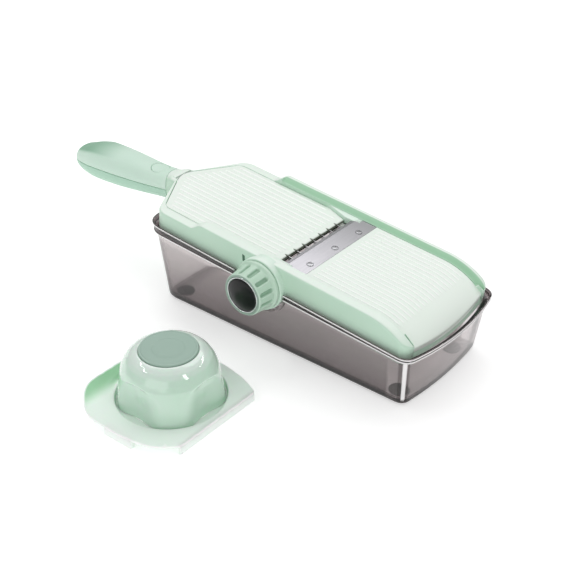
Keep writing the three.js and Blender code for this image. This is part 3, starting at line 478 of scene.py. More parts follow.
# Leans a plan point in with its depth below the rim: the sides by the draft, the nose by its draft and
# flatter bow.
def leanIn(plan, z, half):
    b = catchBox
    x, y = plan[:, 0], plan[:, 1]
    sunk = (rimTop(x) - z) / (rimTop(x) - b["bottom"])
    toNose = (x - (b["start"] + b["end"]) / 2) / ((b["end"] - b["start"]) / 2)
    flatten = (b["bow"] - b["baseBow"]) * (1 - (y / half) ** 2) * np.maximum(0, toNose)
    return np.stack(
        [x - sunk * (b["endDraft"] * toNose + flatten), y * (1 - sunk * b["sideDraft"] / half), z], -1)


# The box is one closed section carried round its outline: floor, base round, wall, the lip's two beads and
# the face between them, rim, seat ledge, inner wall and inner floor. At the knob it is cut off along the
# notch's circle.
def makeCatchBox():
    b = catchBox
    r = b["baseRound"]
    section = [(s, r + 0.6, "base", 0.0) for s in (0.0, 0.3, 0.6, 0.85)] + [(1.0, r + 0.6, "base", 0.0)]
    section += [
        (1.0, r * (1 - math.sin(a)), "base", r * (1 - math.cos(a))) for a in np.linspace(0.1, math.pi / 2, 7)]
    section += [(1.0, 0.0, "wall", t) for t in np.linspace(0.08, 1, 9)]
    section += [(1.0, -out, "lip", up) for out, up in b["lipBead"]]
    section += [(1.0, -out, "rim", up) for out, up in b["rimBead"] + b["seatLedge"]]
    section += [(1.0, 2.2, "inner", t) for t in np.linspace(0.9, 0, 9)]
    section += [(1.0, 2.2 + r * (1 - math.cos(a)), "floor", r * (1 - math.sin(a)))
                for a in np.linspace(0.15, math.pi / 2, 6)]
    section += [(s, 2.2 + r, "floor", 0.0) for s in (0.85, 0.6, 0.3, 0.0)]
    rows = []
    # Per row: where a painted highlight goes, and where painted shade goes.
    paintedHighlight, dark = [], []
    centre = np.array([(b["start"] + b["end"]) / 2, 0.0])
    for scale, inset, kind, value in section:
        plan, notch = boxOutline(inset)
        x = plan[:, 0]
        bead = inset <= -b["beadFrom"]
        groove = kind in ("lip", "rim") and not bead
        # Within each nose corner the middle columns get a painted highlight, with a painted dark line of
        # shade on both sides.
        turn = np.zeros(len(x))
        corner = b["cornerX"]
        away = np.hypot(x - (b["end"] - corner), np.abs(plan[:, 1]) - b["halfWidth"] + corner)
        turn[away < b["cornerHighlight"]] = 1.0
        side = (away >= b["cornerHighlight"]) & (away < b["cornerShade"])
        outer = kind in ("base", "wall", "lip", "rim")
        paintedHighlight.append(np.full(len(x), float(bead)) + turn * outer * (kind == "wall"))
        # Painted shade: dark lines in the grooves between the beads and along the base's edge, and a
        # darkening of the long sides that fades up from the base.
        edge = kind == "base" and inset > 0.3 and scale == 1.0
        flank = (np.abs(plan[:, 1]) > b["halfWidth"] - 6) & (x < b["end"] - 12)
        fading = 1 - value if kind == "wall" else (kind == "base") * (scale == 1.0)
        deep = 0.6 * flank * fading
        dark.append(np.full(len(x), 1.0 * groove + 0.8 * edge) + side * outer * 0.8 * (scale == 1.0)
                    + 0.4 * (deep > 0) + 0.9 * deep)
        wallTop = lipUnder(x) - 0.8
        low = b["bottom"] + r
        innerLow = b["bottom"] + b["floor"] + r
        z = {
            "base": np.full(len(x), b["bottom"] + value), "wall": low + (wallTop - low) * value,
            "lip": lipUnder(x) + value, "rim": rimTop(x) + value,
            "inner": innerLow + (rimTop(x) - 4.8 - innerLow) * value,
            "floor": np.full(len(x), b["bottom"] + b["floor"] + value),
        }[kind]
        above = z > notch
        if above.any():
            clipped, _ = boxOutline(min(max(inset, 0.0), 2.2))
            plan = np.where(above[:, None], clipped, plan)
            z = np.where(above, notch, z)
        rows.append(leanIn(centre + (plan - centre) * scale, z, b["halfWidth"] - inset))
    gridPiece("catchBox", np.array(rows), smokeBox, "container", ["container"], caps=False,
              marks={"paintedHighlight": np.array(paintedHighlight), "dark": np.minimum(np.array(dark), 1.0)})


# The moulded bead round the notch: a rounded section swept along the notch's circle, standing out from the
# wall.
def makeNotchBead():
    b = catchBox
    across = np.array([
            (0.25, -0.9), (0.25, 0.3), (0.5, 0.95), (1.1, 1.35), (1.7, 1.2), (2.05, 0.7), (2.1, 0.0),
            (1.9, -0.5), (1.5, -0.85), (0.9, -0.95)])
    angles = np.radians(np.linspace(-81, 81, 60))
    rows = []
    for a in angles:
        radius = b["notchRadius"] + 0.15 + across[:, 0]
        x = b["notchX"] + radius * math.sin(a)
        z = b["notchZ"] - radius * math.cos(a)
        sunk = (rimTop(x) - z) / (rimTop(x) - b["bottom"])
        y = -(b["halfWidth"] - sunk * b["sideDraft"]) - across[:, 1]
        rows.append(np.stack([x, y, z], -1))
    gridPiece("notchBead", np.array(rows), smokeBox, "container")


makeCatchBox()
makeNotchBead()
print("catch box made")

deckFrame = {
    "halfWidth": 52.1, "shoulderX": -93.9, "neckX": -114.0, "neckHalf": 12.5, "end": 133.0, "bow": 3.2,
    "inner": 44.15, "rampInner": 43.8, "railRise": 3.0, "rampDrop": 3.0, "stepFrom": -61.0, "stepTo": -50.0,
    "skirt": -17.5, "depth": -22.8, "overhang": -12.9, "cavity": -5.0, "outerRound": 1.7, "innerRound": 0.9,
    "slopeRun": 4.6,
}


# A level that runs flat along the deck and bends down over the nose on a circle.
def overNose(x, level):
    reach = deck["bendRadius"] + level
    past = np.clip(x - deck["bendStart"], 0, None)
    return -deck["bendRadius"] + np.sqrt(np.maximum(reach ** 2 - past ** 2, 1.0))


# The top of the frame: low at the shoulders, an S step up to the rails.
def frameTop(x):
    f = deckFrame
    rise = smooth(x, f["stepFrom"], f["stepTo"])
    return overNose(x, f["railRise"] * rise - f["rampDrop"] * (1 - rise))


# The end of a bowed nose at a distance y from the centre line.
def bowEnd(y, end, bow, half):
    return end + bow * (1.044 - 1.0875 * np.minimum(np.abs(y) / half, 1.0) ** 2)


# A closed section carried round the frame between its inner and outer outlines: inner face, rounded arrises,
# top, outer wall, the step that hangs inside the rim, skirt, and back up the inside of the wall. At the nose
# the inner side runs on under the landing deck.
def makeFrameRing():
    f = deckFrame
    side = np.unique(
        np.concatenate([
                np.linspace(-85.9, -63, 12), np.linspace(-63, -48, 26), np.linspace(-48, 98, 48),
                np.linspace(98, 126, 24)]))
    first, last = side[0], side[-1]
    outerCorners = [
        [f["neckX"], f["neckHalf"], 0.01], [f["shoulderX"], f["halfWidth"], 8.0],
        [f["end"], f["halfWidth"], 7.0], [f["end"] + 1.74 * f["bow"], 0.0, 0.8 * f["halfWidth"]],
        [f["end"], -f["halfWidth"], 7.0], [f["shoulderX"], -f["halfWidth"], 8.0],
        [f["neckX"], -f["neckHalf"], 0.01]]
    fractions = (side[1:-1] - first) / (last - first)
    runs = [steps(20), fractions, steps(4), steps(4), 1 - fractions[::-1], steps(20), []]
    outer = roundedLoop(outerCorners, [1, 16, 16, 40, 16, 16, 1], runs, closed=False)
    x, y = outer.T
    sign = np.where(y >= 0, 1.0, -1.0)
    innerY = f["rampInner"] + (f["inner"] - f["rampInner"]) * smooth(x, -20, 10)
    # Inner outline at the shoulders: the ramp's outline, matched by its distance along the slant.
    slant = np.clip((x - f["neckX"]) / (f["shoulderX"] + 6 - f["neckX"]), 0, 1)
    innerCorners = [[-116.4, 4.9, 0.01], [-94.1, 43.8, 6.0], [-60.0, 43.8, 1.0]]
    innerPath = roundedLoop(innerCorners, [1, 16, 1], [steps(20), steps(10), []], closed=False)
    length = 1 + len(steps(20)) + 17
    inner = np.stack([x, sign * innerY], -1)
    inner[:length] = innerPath[:length]
    inner[-length:] = innerPath[:length][::-1] * [1, -1]
    nose = (np.abs(y) < f["inner"] - 0.1) & (x > 100)
    noseRows = np.where(nose)[0]
    inner[nose] = np.stack([x[nose] - 9, y[nose]], -1)
    edge = (np.abs(y) >= f["inner"] - 0.1) & (x > 100)
    inner[edge, 1] = sign[edge] * np.minimum(np.abs(inner[edge, 1]), np.abs(y[edge]) - 0.3)
    # The rail ends in a step down to the nose: its last column is repeated at the lower level.
    a, z = noseRows[0], noseRows[-1]
    order = np.concatenate([np.arange(0, a + 1), np.arange(a, z + 1), np.arange(z, len(x))])
    low = np.zeros(len(order), bool)
    low[a + 1: z + 2] = True
    outer, inner = outer[order], inner[order]
    x, y = outer.T
    across = outer - inner
    width = np.hypot(*across.T)
    unit = across / width[:, None]
    rise = smooth(x, -116, -98)
    outerRound = np.minimum(3.2 + (f["outerRound"] - 3.2) * rise, 0.45 * width)
    innerRound = np.minimum(f["innerRound"], 0.3 * width)

    # A quarter round at an arris: how far across it lies, and how far below the top.
    def corner(base, sideways, roundness, turn):
        plan = base + unit * (sideways * roundness * (1 - math.cos(turn)))[:, None]
        return plan, roundness * (1 - math.sin(turn))

    # A row of the ring at a drop below the top, or below the landing deck where the rail has ended.
    def level(plan, drop):
        top = frameTop(plan[:, 0])
        top = np.where(low, overNose(plan[:, 0], -3.1), top)
        return np.stack([plan[:, 0], plan[:, 1], top - drop], -1)

    floorLevel = np.where(x < -104.5, f["overhang"], f["depth"])
    ring = []
    under = overNose(inner[:, 0], f["cavity"])
    ring.append(np.stack([inner[:, 0], inner[:, 1], np.minimum(under, frameTop(inner[:, 0]) - 3)], -1))
    # Along the far rail the inner face leans back from the landing deck to the top.
    lean = smooth(frameTop(x) - overNose(x, 0.0), 1.5, 3.0) * ~low * (y > 0)
    run = innerRound + (f["slopeRun"] - innerRound) * lean * np.clip(width / 8.0, 0, 1)
    for turn, share in zip(np.radians([0, 22, 45, 68, 90]), (0.0, 0.12, 0.5, 0.88, 1.0)):
        plan, drop = corner(inner, 1.0, innerRound, turn)
        sloped = inner + unit * (run * share)[:, None]
        plan = plan + (sloped - plan) * lean[:, None]
        ring.append(level(plan, drop + ((1 - share) * f["railRise"] - drop) * lean))
    for share in (0.2, 0.5, 0.8):
        start = inner + unit * run[:, None]
        finish = outer - unit * outerRound[:, None]
        ring.append(level(start + (finish - start) * share, 0.0))
    for turn in np.radians([90, 75, 60, 45, 30, 15, 0]):
        plan, drop = corner(outer, -1.0, outerRound, turn)
        ring.append(level(plan, drop))
    edgeZ = ring[-1][:, 2]
    for share in (0.25, 0.5, 0.75, 1.0):
        z = edgeZ + (np.minimum(f["skirt"], edgeZ - 1) - edgeZ) * share
        ring.append(np.stack([x, y, np.maximum(z, floorLevel)], -1))
    stepIn = outer - unit * np.minimum(1.5, 0.5 * width)[:, None]
    for z in (f["skirt"] - 0.1, f["depth"] + 0.5):
        ring.append(np.stack([stepIn[:, 0], stepIn[:, 1], np.maximum(z, floorLevel)], -1))
    for back, z in ((1.8, f["depth"]), (3.6, f["depth"]), (4.0, f["depth"] + 0.5)):
        plan = outer - unit * np.minimum(back, 0.75 * width)[:, None]
        ring.append(np.stack([plan[:, 0], plan[:, 1], np.maximum(z, floorLevel)], -1))
    plan = outer - unit * np.minimum(4.0, 0.75 * width)[:, None]
    ceiling = np.minimum(overNose(plan[:, 0], f["cavity"]), edgeZ - 1.5)
    ring.append(np.stack([plan[:, 0], plan[:, 1], np.maximum(ceiling, floorLevel)], -1))
    points = fromDeck(np.array(ring)).transpose(1, 0, 2)
    shade = np.zeros(points.shape[:2])
    shade[:, 1:5] = lean[:, None] * [1.0, 1.0, 1.0, 0.9]
    return points, shade


# The floor under the blade and the landing deck: a plate that follows the nose.
def plateUnderDeck():
    f = deckFrame
    xs = np.concatenate([[24.0, 40.7, 40.9], np.linspace(44, 98, 8), np.linspace(98, 130, 14)[1:]])
    tops = np.where(xs < 40.8, -1.85, -2.85)
    tops = overNose(xs, 0.0) + tops
    lows = overNose(xs, f["cavity"])
    ys = np.array([-44.4, 44.4])
    rows = [np.array([[x, ys[0], low], [x, ys[0], top], [x, ys[1], top], [x, ys[1], low]])
            for x, top, low in zip(xs, tops, lows)]
    return fromDeck(np.array(rows))


# The ledge beside the ramp's cut-back corner: a wedge between the rail and the slot, rounded along its inner
# edge.
def sideLedge(side):
    xs = np.concatenate([np.linspace(-8, 16, 26), np.linspace(17, 26, 6)])
    inner = np.interp(xs, [-8, -4, 13.3, 26], [43.7, 43.5, 38.65, 38.65])
    rows = []
    for x, near in zip(xs, inner):
        fade = float(smooth(x, -8, -4))
        top = -2.6 + 2.1 * fade if x < -4 else -0.5
        rows.append([
                [x, side * near, -5.5], [x, side * near, top - 0.7], [x, side * (near + 0.2), top - 0.25],
                [x, side * (near + 0.7), top], [x, side * 44.4, top], [x, side * 44.4, -5.5]])
    return fromDeck(np.array(rows))


# Where the comb's arms slide: a post with a groove, below the blade.
def combPost(side):
    middle = side * 30.5
    rows = []
    for z in (-27.0, -5.2):
        rows.append([
                [24, middle - 3.5, z], [24, middle - 1.3, z], [25.9, middle - 1.3, z],
                [25.9, middle + 1.3, z], [24, middle + 1.3, z], [24, middle + 3.5, z], [29, middle + 3.5, z],
                [29, middle - 3.5, z]])
    return fromDeck(np.array(rows, float))


knobAxis = (9.1, 57.6)


# A profile of (radius, Y) turned about the knob's axis, drawn in by an optional bump of Y and the angle.
def turnedAboutKnob(profile, count=96, bump=None):
    angles = np.linspace(0, 2 * math.pi, count, endpoint=False)
    profile = np.array(profile, float)
    radius = np.repeat(profile[:, :1], count, 1)
    along = np.repeat(profile[:, 1:2], count, 1)
    if bump is not None:
        radius = radius - bump(along, np.repeat(angles[None], len(profile), 0))
    return np.stack([knobAxis[0] + radius * np.sin(angles), along, knobAxis[1] + radius * np.cos(angles)], -1)


handleStations = np.array([
    [-232.4, 1.5, 1.2, 64.8], [-231.4, 7, 4.6, 65], [-228.4, 11.4, 8.4, 65.3], [-223, 14.4, 11.4, 65.7],
    [-214.5, 16.4, 13.8, 66.2], [-204, 17.4, 15.3, 66.7], [-180, 16.5, 14.8, 67.1], [-155, 14.6, 12.9, 67.8],
    [-135, 13, 11.6, 69],
    [-112, 12.5, 11.5, 71.4], [-98, 12.5, 11.5, 72.6],
])


# The stations joined by an even Catmull-Rom curve, then read off at any x.
def handleTable():
    p = handleStations
    padded = np.concatenate([2 * p[:1] - p[1:2], p, 2 * p[-1:] - p[-2:-1]])
    found = []
    for i in range(len(p) - 1):
        p0, p1, p2, p3 = padded[i:i + 4]
        t = np.linspace(0, 1, 40, endpoint=i == len(p) - 2)[:, None]
        cubic = 3 * p1 - p0 - 3 * p2 + p3
        square = 2 * p0 - 5 * p1 + 4 * p2 - p3
        found.append(0.5 * (2 * p1 + (p2 - p0) * t + square * t ** 2 + cubic * t ** 3))
    return np.concatenate(found)


handleCurve = handleTable()


# Half width, half height and middle height of the handle at x.
def handleAt(x):
    return [np.interp(x, handleCurve[:, 0], handleCurve[:, i]) for i in (1, 2, 3)]


handlePower = 2.3  # 2 is an ellipse, and more is squarer


# A cosine or sine raised so that the pair runs round a squarish oval.
def bulge(value):
    return np.sign(value) * np.abs(value) ** (2 / handlePower)


# The collar: the handle's oval section from the shoulders to an upright rounded end that the grip closes
# against.
def collarGrid():
    angles = np.linspace(0, 2 * math.pi, 96, endpoint=False)
    c, s = bulge(np.cos(angles)), bulge(np.sin(angles))
    rows = []
    for scale, back in (
        (0.0, 0.0), (0.4, 0.0), (0.8, 0.0), (0.93, 0.0), (0.975, 0.12), (0.993, 0.4), (1.0, 0.8)):
        y = 12.6 * c * scale
        x = -108 - np.sqrt(400 - y ** 2) + back
        wide, high, middle = handleAt(x)
        rows.append(np.stack([x, y, middle + high * s * scale], -1))
    for share in np.linspace(0.06, 1, 18):
        y = 12.6 * c
        first = -108 - np.sqrt(400 - y ** 2) + 0.8
        last = np.where(np.abs(y) < 5.4, -116.6, -108.0)
        x = first + (last - first) * share
        wide, high, middle = handleAt(x)
        limit = deck["height"] - x * deck["slope"] - 3.0
        square = smooth(x, -126, -117) * 0.62
        lift = np.where(s > 0, high + (limit - middle - high) * smooth(x, -126, -117), high)
        z = middle + lift * np.sign(s) * np.abs(s) ** np.where(s > 0, 1 - square, 1.0)
        z = np.where(x > -116.5, np.minimum(z, limit - 0.15), z)
        rows.append(np.stack([x, wide * np.sign(c) * np.abs(c) ** (1 - square * (s > 0)), z], -1))
    return np.array(rows)


# The ring with everything moulded onto it as one piece.
def makeDeckFrame():
    ring, shade = makeFrameRing()
    boss = turnedAboutKnob([
            (0, -48), (19.8, -48), (19.8, -55.6), (19.6, -56.2), (19.1, -56.55), (18.4, -56.6), (5.4, -56.6),
            (0, -56.6)])
    bearing = turnedAboutKnob([(0, 44.2), (6.4, 44.2), (7.0, 44.8), (7.0, 50.5), (0, 50.5)])
    closed = (False, True, True)
    gridPiece(
        "deckFrame", ring, plastics["mintBody"], "slicer", ["slicer_frame"], extra=[
            (plateUnderDeck(), *closed), (sideLedge(1), *closed), (sideLedge(-1), *closed),
            (combPost(1), *closed), (combPost(-1), *closed), (boss, False, True, False),
            (bearing, False, True, False), (collarGrid(), False, True, True),
        ], marks={"shade": shade})


makeDeckFrame()


# The pointer beside the knob: a narrow dark triangle let into the wall, pointing down at the knob; its dark
# green is painted shade for the notch.
def makePointer():
    outline = np.array([(-9.7, -1.4), (-9.9, -2.6), (-9.3, -7.0), (-8.4, -7.2), (-7.0, -6.0), (-7.6, -2.2)])
    rows = [
        np.stack([outline[:, 0] * s + (1 - s) * -8.6, np.full(6, y), outline[:, 1] * s + (1 - s) * -4], -1)
        for y, s in ((-51.6, 1.0), (-52.12, 1.0), (-52.16, 0.8))]
    gridPiece(
        "knobPointer", fromDeck(np.array(rows)), plastics["grooveShade"], "slicer", crease=30)


makePointer()
print("deck frame made")

rampDeck = {
    "end": 12.9, "half": 43.4, "tipX": -116.0, "tipHalf": 4.5, "taperX": -4.0, "slotHalf": 38.2,
    "thickness": 2.5, "ribs": 16, "ribPitch": 5.2, "ribHalf": 1.05, "ribHeight": 0.5, "edgeRound": 0.6,
    "teeth": 7, "toothPitch": 9.6, "top": -3.0, "shoulderX": -93.9, "tipRound": 2.2, "notchRun": 2.6,
    "notchDeep": 1.9, "pinX": -111.0, "pinZ": -9.0, "apronHalf": 32.6,
    "apron": [(12.85, -3.7), (12.85, -6.7), (12.7, -6.9), (12.2, -6.9), (12.0, -6.7), (12.0, -5.4)],
}
landingDeck = {
    "start": 39.1, "half": 43.75, "end": 132.9, "bow": 3.2, "thickness": 2.5, "ribs": 19, "ribPitch": 4.3,
    "ribHalf": 0.8, "ribHeight": 0.42, "ribFrom": 44.5, "ribTo": 117.5, "edgeRound": 0.6, "samples": 181,
}


# Height of a row of round-ended ribs: a rounded hump by the distance from each rib's middle line.
def ribHeight(x, y, count, pitch, half, height, starts, ends):
    index = np.clip(np.round(y / pitch + (count - 1) / 2), 0, count - 1)
    middle = (index - (count - 1) / 2) * pitch
    first, last = starts(middle), ends(middle)
    away = np.hypot(y - middle, np.maximum(0, np.maximum(first - x, x - last)))
    return height * np.sqrt(np.clip(1 - (away / half) ** 2, 0, 1)) ** 0.8


# Cross samples: fine over the ribs, and crowded at both edges for their rounding.
def crossSamples(count, pitch, half, perRib):
    offsets = np.linspace(-0.5, 0.5, perRib, endpoint=False) * pitch
    middles = (np.arange(count) - (count - 1) / 2) * pitch
    return np.sort(
        np.concatenate([(middles[:, None] + offsets).ravel(), np.linspace(-1.05 * half, 1.05 * half, 12)]))


edgeSteps = np.array([0.6, 0.4, 0.22, 0.09, 0.02, 0.0])


# A deck plate as closed sections along X: the top with its ribs, a rounded edge, the side and the underside.
def deckPlate(xs, halfWidth, cross, topAt, lowAt, roundness):
    rows = []
    for i, x in enumerate(xs):
        half = halfWidth[i]
        ys = np.clip(cross, -(half - 0.61), half - 0.61)
        ys = np.concatenate([-half + edgeSteps[::-1], ys, half - edgeSteps])
        inwards = np.minimum(half - np.abs(ys), roundness)
        drop = roundness - np.sqrt(np.maximum(roundness ** 2 - (roundness - inwards) ** 2, 0))
        xRow = x if np.ndim(x) else np.full(len(ys), x)
        xRow = np.interp(ys, np.linspace(-half, half, len(xRow)), xRow) if np.ndim(x) else xRow
        top = np.stack([xRow, ys, topAt(xRow, ys) - drop], -1)
        low = np.array([[xRow[-1], half, lowAt(xRow[-1], half)], [xRow[0], -half, lowAt(xRow[0], -half)]])
        rows.append(np.concatenate([top, low]))
    return np.array(rows)


# Half the ramp's width: a slant from the rounded tip to the eased shoulder, straight sides, and a taper to
# the slot.
def rampHalfWidth(x):
    r = rampDeck
    slant = np.interp(x, [r["tipX"], r["shoulderX"]], [r["tipHalf"], r["half"]])
    corner = r["half"] - 3.4 * np.clip((-88.5 - x) / 9.5, 0, 1) ** 2
    taper = np.interp(x, [r["taperX"], r["end"]], [r["half"], r["slotHalf"]])
    roundTo = r["tipX"] + r["tipRound"]
    tip = r["tipHalf"] * np.sqrt(np.clip(1 - ((roundTo - x) / r["tipRound"]).clip(0, 1) ** 2, 0.02, 1))
    half = np.minimum(np.minimum(slant, corner), taper)
    return np.where(x < roundTo, np.minimum(half, tip + np.maximum(0, half - r["tipHalf"])), half)


# The ramp is one plate from its tip to the slot: round-ended ribs on top, a rounded front edge and V notches
# that let the upright blades through. Two lugs hold its hinge pin.
def makeRamp():
    r = rampDeck
    xs = np.concatenate([
            [-116, -115.96, -115.8, -115.5, -115], np.linspace(-114.4, -80, 58), np.linspace(-79, -4, 60),
            np.linspace(-3, 8, 14), np.linspace(8.4, 12.2, 18), r["end"] - edgeSteps])
    cross = crossSamples(r["ribs"], r["ribPitch"], r["half"], 18)
    teeth = (np.arange(r["teeth"]) - (r["teeth"] - 1) / 2) * r["toothPitch"]
    cross = np.sort(np.concatenate([cross, (teeth[:, None] + np.linspace(-1.6, 1.6, 14)).ravel()]))
    half = rampHalfWidth(xs)

    # Each notch widens and deepens towards the front edge.
    def notchDepth(x, y):
        near = np.abs(y[..., None] - teeth).min(-1)
        grow = np.clip((x - (r["end"] - r["notchRun"])) / r["notchRun"], 0, 1)
        return np.clip(1 - near / (0.25 + 1.05 * grow), 0, 1) * smooth(grow, 0, 0.3)

    # The plate's top with its ribs, less the round of its front edge and the notches.
    def topAt(x, y):
        ribs = ribHeight(
            x, y, r["ribs"], r["ribPitch"], r["ribHalf"], r["ribHeight"],
            lambda m: np.maximum(r["shoulderX"] - (r["half"] - np.abs(m)) * 0.55 + 6, -111.0),
            lambda m: np.where(np.abs(m) > 34.5, -6.0, 6.4))
        front = r["edgeRound"] - np.sqrt(np.maximum(
            r["edgeRound"] ** 2 - np.clip(x - (r["end"] - r["edgeRound"]), 0, r["edgeRound"]) ** 2, 0))
        return r["top"] + ribs - front - r["notchDeep"] * notchDepth(x, y)

    grid = deckPlate(xs, half, cross, topAt, lambda x, y: r["top"] - r["thickness"], r["edgeRound"])
    x, y, z = grid[..., 0], grid[..., 1], grid[..., 2]
    # Painted highlight on the rib tops; painted shade along the front edge, in the notches and over the front
    # face, where the slot lies in shadow.
    crestHighlight = (z - r["top"]) / r["ribHeight"]
    rim = 0.22 * smooth(x, r["end"] - 1.1, r["end"] - 0.3)
    shade = np.maximum(rim, 0.75 * smooth(notchDepth(x, y), 0.0, 0.25))
    shade = np.where((x > r["end"] - 0.01) & (z < -3.55), 1.0, shade)
    plate = fromDeck(grid)
    lugs = []
    for side in (-1, 1):
        angles = np.radians(np.linspace(0, 360, 33)[:-1])
        rings = [np.stack([r["pinX"] + radius * np.sin(angles), np.full(32, side * y),
                           r["pinZ"] + radius * np.cos(angles)], -1)
                 for radius, y in ((1.8, 2.0), (2.8, 2.0), (3.2, 2.4), (3.2, 5.6), (2.8, 6.0), (1.8, 6.0))]
        lugs.append((fromDeck(np.array(rings)), True, True, False))
        post = [[[r["pinX"] + sx * 2.5, side * y, z] for sx, y in ((-1, 2.1), (1, 2.1), (1, 5.9), (-1, 5.9))]
                for z in (-7.4, -5.2)]
        lugs.append((fromDeck(np.array(post, float)), False, True, True))
    gridPiece(
        "rampDeck", plate, plastics["paleDeck"], "ramp", ["ramp_plate"], extra=lugs,
        marks={"crestHighlight": crestHighlight, "shade": shade})
    # A black apron under the front edge, between the cams: a dark sheet that paints the shadow at the slot's
    # back.
    apron = [[[x, side, z] for x, z in r["apron"]] for side in (-r["apronHalf"], r["apronHalf"])]
    gridPiece("slotShadowApron", fromDeck(np.array(apron, float)), plastics["slotShadow"], "ramp")


# The landing deck runs flat from behind the blade, then over the nose to its bowed end, with long ribs on
# top.
def makeLanding():
    d = landingDeck
    r = d["edgeRound"]
    bend = deck["bendStart"]
    flat = np.concatenate([
            d["start"] + edgeSteps[::-1], np.linspace(40, 43.6, 8), np.linspace(43.8, 45.6, 8),
            np.linspace(47, 92, 30), np.linspace(93, 96.4, 14), [97.2]])
    shares = np.concatenate([np.linspace(0, 0.97, 30), 1 - edgeSteps / 38])
    cross = crossSamples(d["ribs"], d["ribPitch"], d["half"], 18)
    fine = np.linspace(-d["half"], d["half"], d["samples"])
    ends = bowEnd(fine, d["end"], d["bow"], d["half"])
    xs = [np.full(d["samples"], x) for x in flat] + [bend + (ends - bend) * s for s in shares]

    # The nose's curve with the ribs, less the rounds of both ends.
    def topAt(x, y):
        ribs = ribHeight(
            x, y, d["ribs"], d["ribPitch"], d["ribHalf"], d["ribHeight"],
            lambda m: np.full_like(m, d["ribFrom"]), lambda m: np.full_like(m, d["ribTo"]))
        end = bowEnd(y, d["end"], d["bow"], d["half"])
        nearEnd = np.clip(np.maximum(x - (end - r), d["start"] + r - x), 0, r)
        front = r - np.sqrt(np.maximum(r ** 2 - nearEnd ** 2, 0))
        return overNose(x, 0.0) + ribs - front

    plate = deckPlate(
        xs, np.full(len(xs), d["half"]), cross, topAt,
        lambda x, y: float(overNose(np.array(x), -d["thickness"])), d["edgeRound"])
    # The underside needs its own curve across the bowed end, so it gets cross samples too.
    count = plate.shape[1] - 2
    top = plate[:, :count]
    under = top[:, ::-1].copy()
    under[..., 2] = overNose(under[..., 0], -d["thickness"])
    grid = np.concatenate([top, under[:, ::8]], 1)
    # Painted highlight on the rib tops.
    crestHighlight = (grid[..., 2] - overNose(grid[..., 0], 0.0)) / d["ribHeight"]
    gridPiece(
        "landingDeck", fromDeck(grid), plastics["paleDeck"], "slicer", ["landing_deck"],
        marks={"crestHighlight": crestHighlight})


makeRamp()
makeLanding()
print("ramp and landing deck made")

rivetLook = {
    "x": 33.4, "pitch": 29.0, "seat": -0.2,
    "profile": [
        (0, 0.0), (1.7, 0.0), (1.95, -0.12), (2.1, -0.2), (2.2, -0.02), (2.35, 0.12), (2.5, 0.12),
        (2.64, 0.0), (2.7, -0.2), (2.7, -0.28), (1.8, -0.28), (1.8, -4.2), (0, -4.2)],
}


# A flattened head with a rolled rim and a shallow dimple, turned about the rivet's axis.
def makeRivets():
    r = rivetLook
    for i, y in enumerate((-r["pitch"], 0.0, r["pitch"])):
        grid = turnedUp(np.array(r["profile"]) + [0, r["seat"]], (r["x"], y), 48)
        gridPiece(f"bladeRivet{i + 1}", fromDeck(grid), rivetSteel, "slicer",
                  [f"blade_rivet_{i + 1}"], caps=False, crease=50)


makeRivets()

knobLook = {
    "radius": 17.4, "faceRadius": 16.0, "barrelBack": -61.2, "barrelFront": -73.8, "recesses": 12,
    "recessHalf": 1.9, "recessDepth": 1.8, "recessBack": -62.8, "recessFront": -71.4, "recessRadius": 16.7,
    "collar": [(3.4, -57.2), (18.3, -57.2), (18.7, -57.35), (18.8, -57.7), (18.8, -59.2), (18.65, -59.6),
               (18.2, -60.0), (17.7, -60.5)],
    "front": [(15.85, -74.3), (15.6, -74.6), (15.2, -74.78), (14.8, -74.8), (14.8, -74.8), (14.2, -74.8),
              (14.05, -74.7), (14.0, -74.5), (14.0, -73.2), (13.0, -73.2), (3.4, -73.2), (3.4, -57.2)],
    "band": [(15.55, -74.7), (15.5, -74.86), (15.2, -74.95), (14.3, -74.95), (14.05, -74.85), (14.0, -74.6),
             (14.8, -74.5)],
    "ring": [(13.7, -73.6), (13.7, -74.8), (13.6, -75.0), (13.4, -75.1), (13.1, -75.1), (12.9, -75.0),
             (12.8, -74.8), (12.8, -73.6)],
    "cap": [(0, -73.6), (12.4, -73.6), (12.45, -74.6), (12.3, -74.85), (12.0, -75.0), (11, -75.35),
            (9.5, -75.75), (7.5, -76.1), (5, -76.33), (2.5, -76.4), (0, -76.4)],
}


# Twelve long grip recesses: each is a pill by the distance from its middle line, with a rounded floor.
def gripRecess(along, angles):
    k = knobLook
    pitch = 2 * math.pi / k["recesses"]
    off = (angles / pitch - np.floor(angles / pitch) - 0.5) * pitch * k["recessRadius"]
    past = np.maximum(0, np.maximum(along - k["recessBack"], k["recessFront"] - along))
    away = np.hypot(off, past)
    return k["recessDepth"] * smooth(away, k["recessHalf"] + 0.25, k["recessHalf"] - 0.85)


# The knob is its collar, a barrel that tapers to the face with the recesses pressed in, the face and the
# bore.
def makeKnob():
    k = knobLook
    ys = np.linspace(k["barrelBack"], k["barrelFront"], 52)
    radii = np.interp(-ys, [-k["barrelBack"], -k["barrelFront"]], [k["radius"], k["faceRadius"]])
    body = turnedAboutKnob([*k["collar"], *zip(radii, ys), *k["front"]], 288, gripRecess)
    turn = np.repeat(np.linspace(0, 2 * math.pi, 288, endpoint=False)[None], len(body), 0)
    shade = smooth(gripRecess(body[..., 1], turn) / k["recessDepth"], 0.25, 0.95)
    gridPiece(
        "thicknessKnob", body, plastics["knobMint"], "knob", ["thickness_knob"], caps=False,
        marks={"shade": shade})


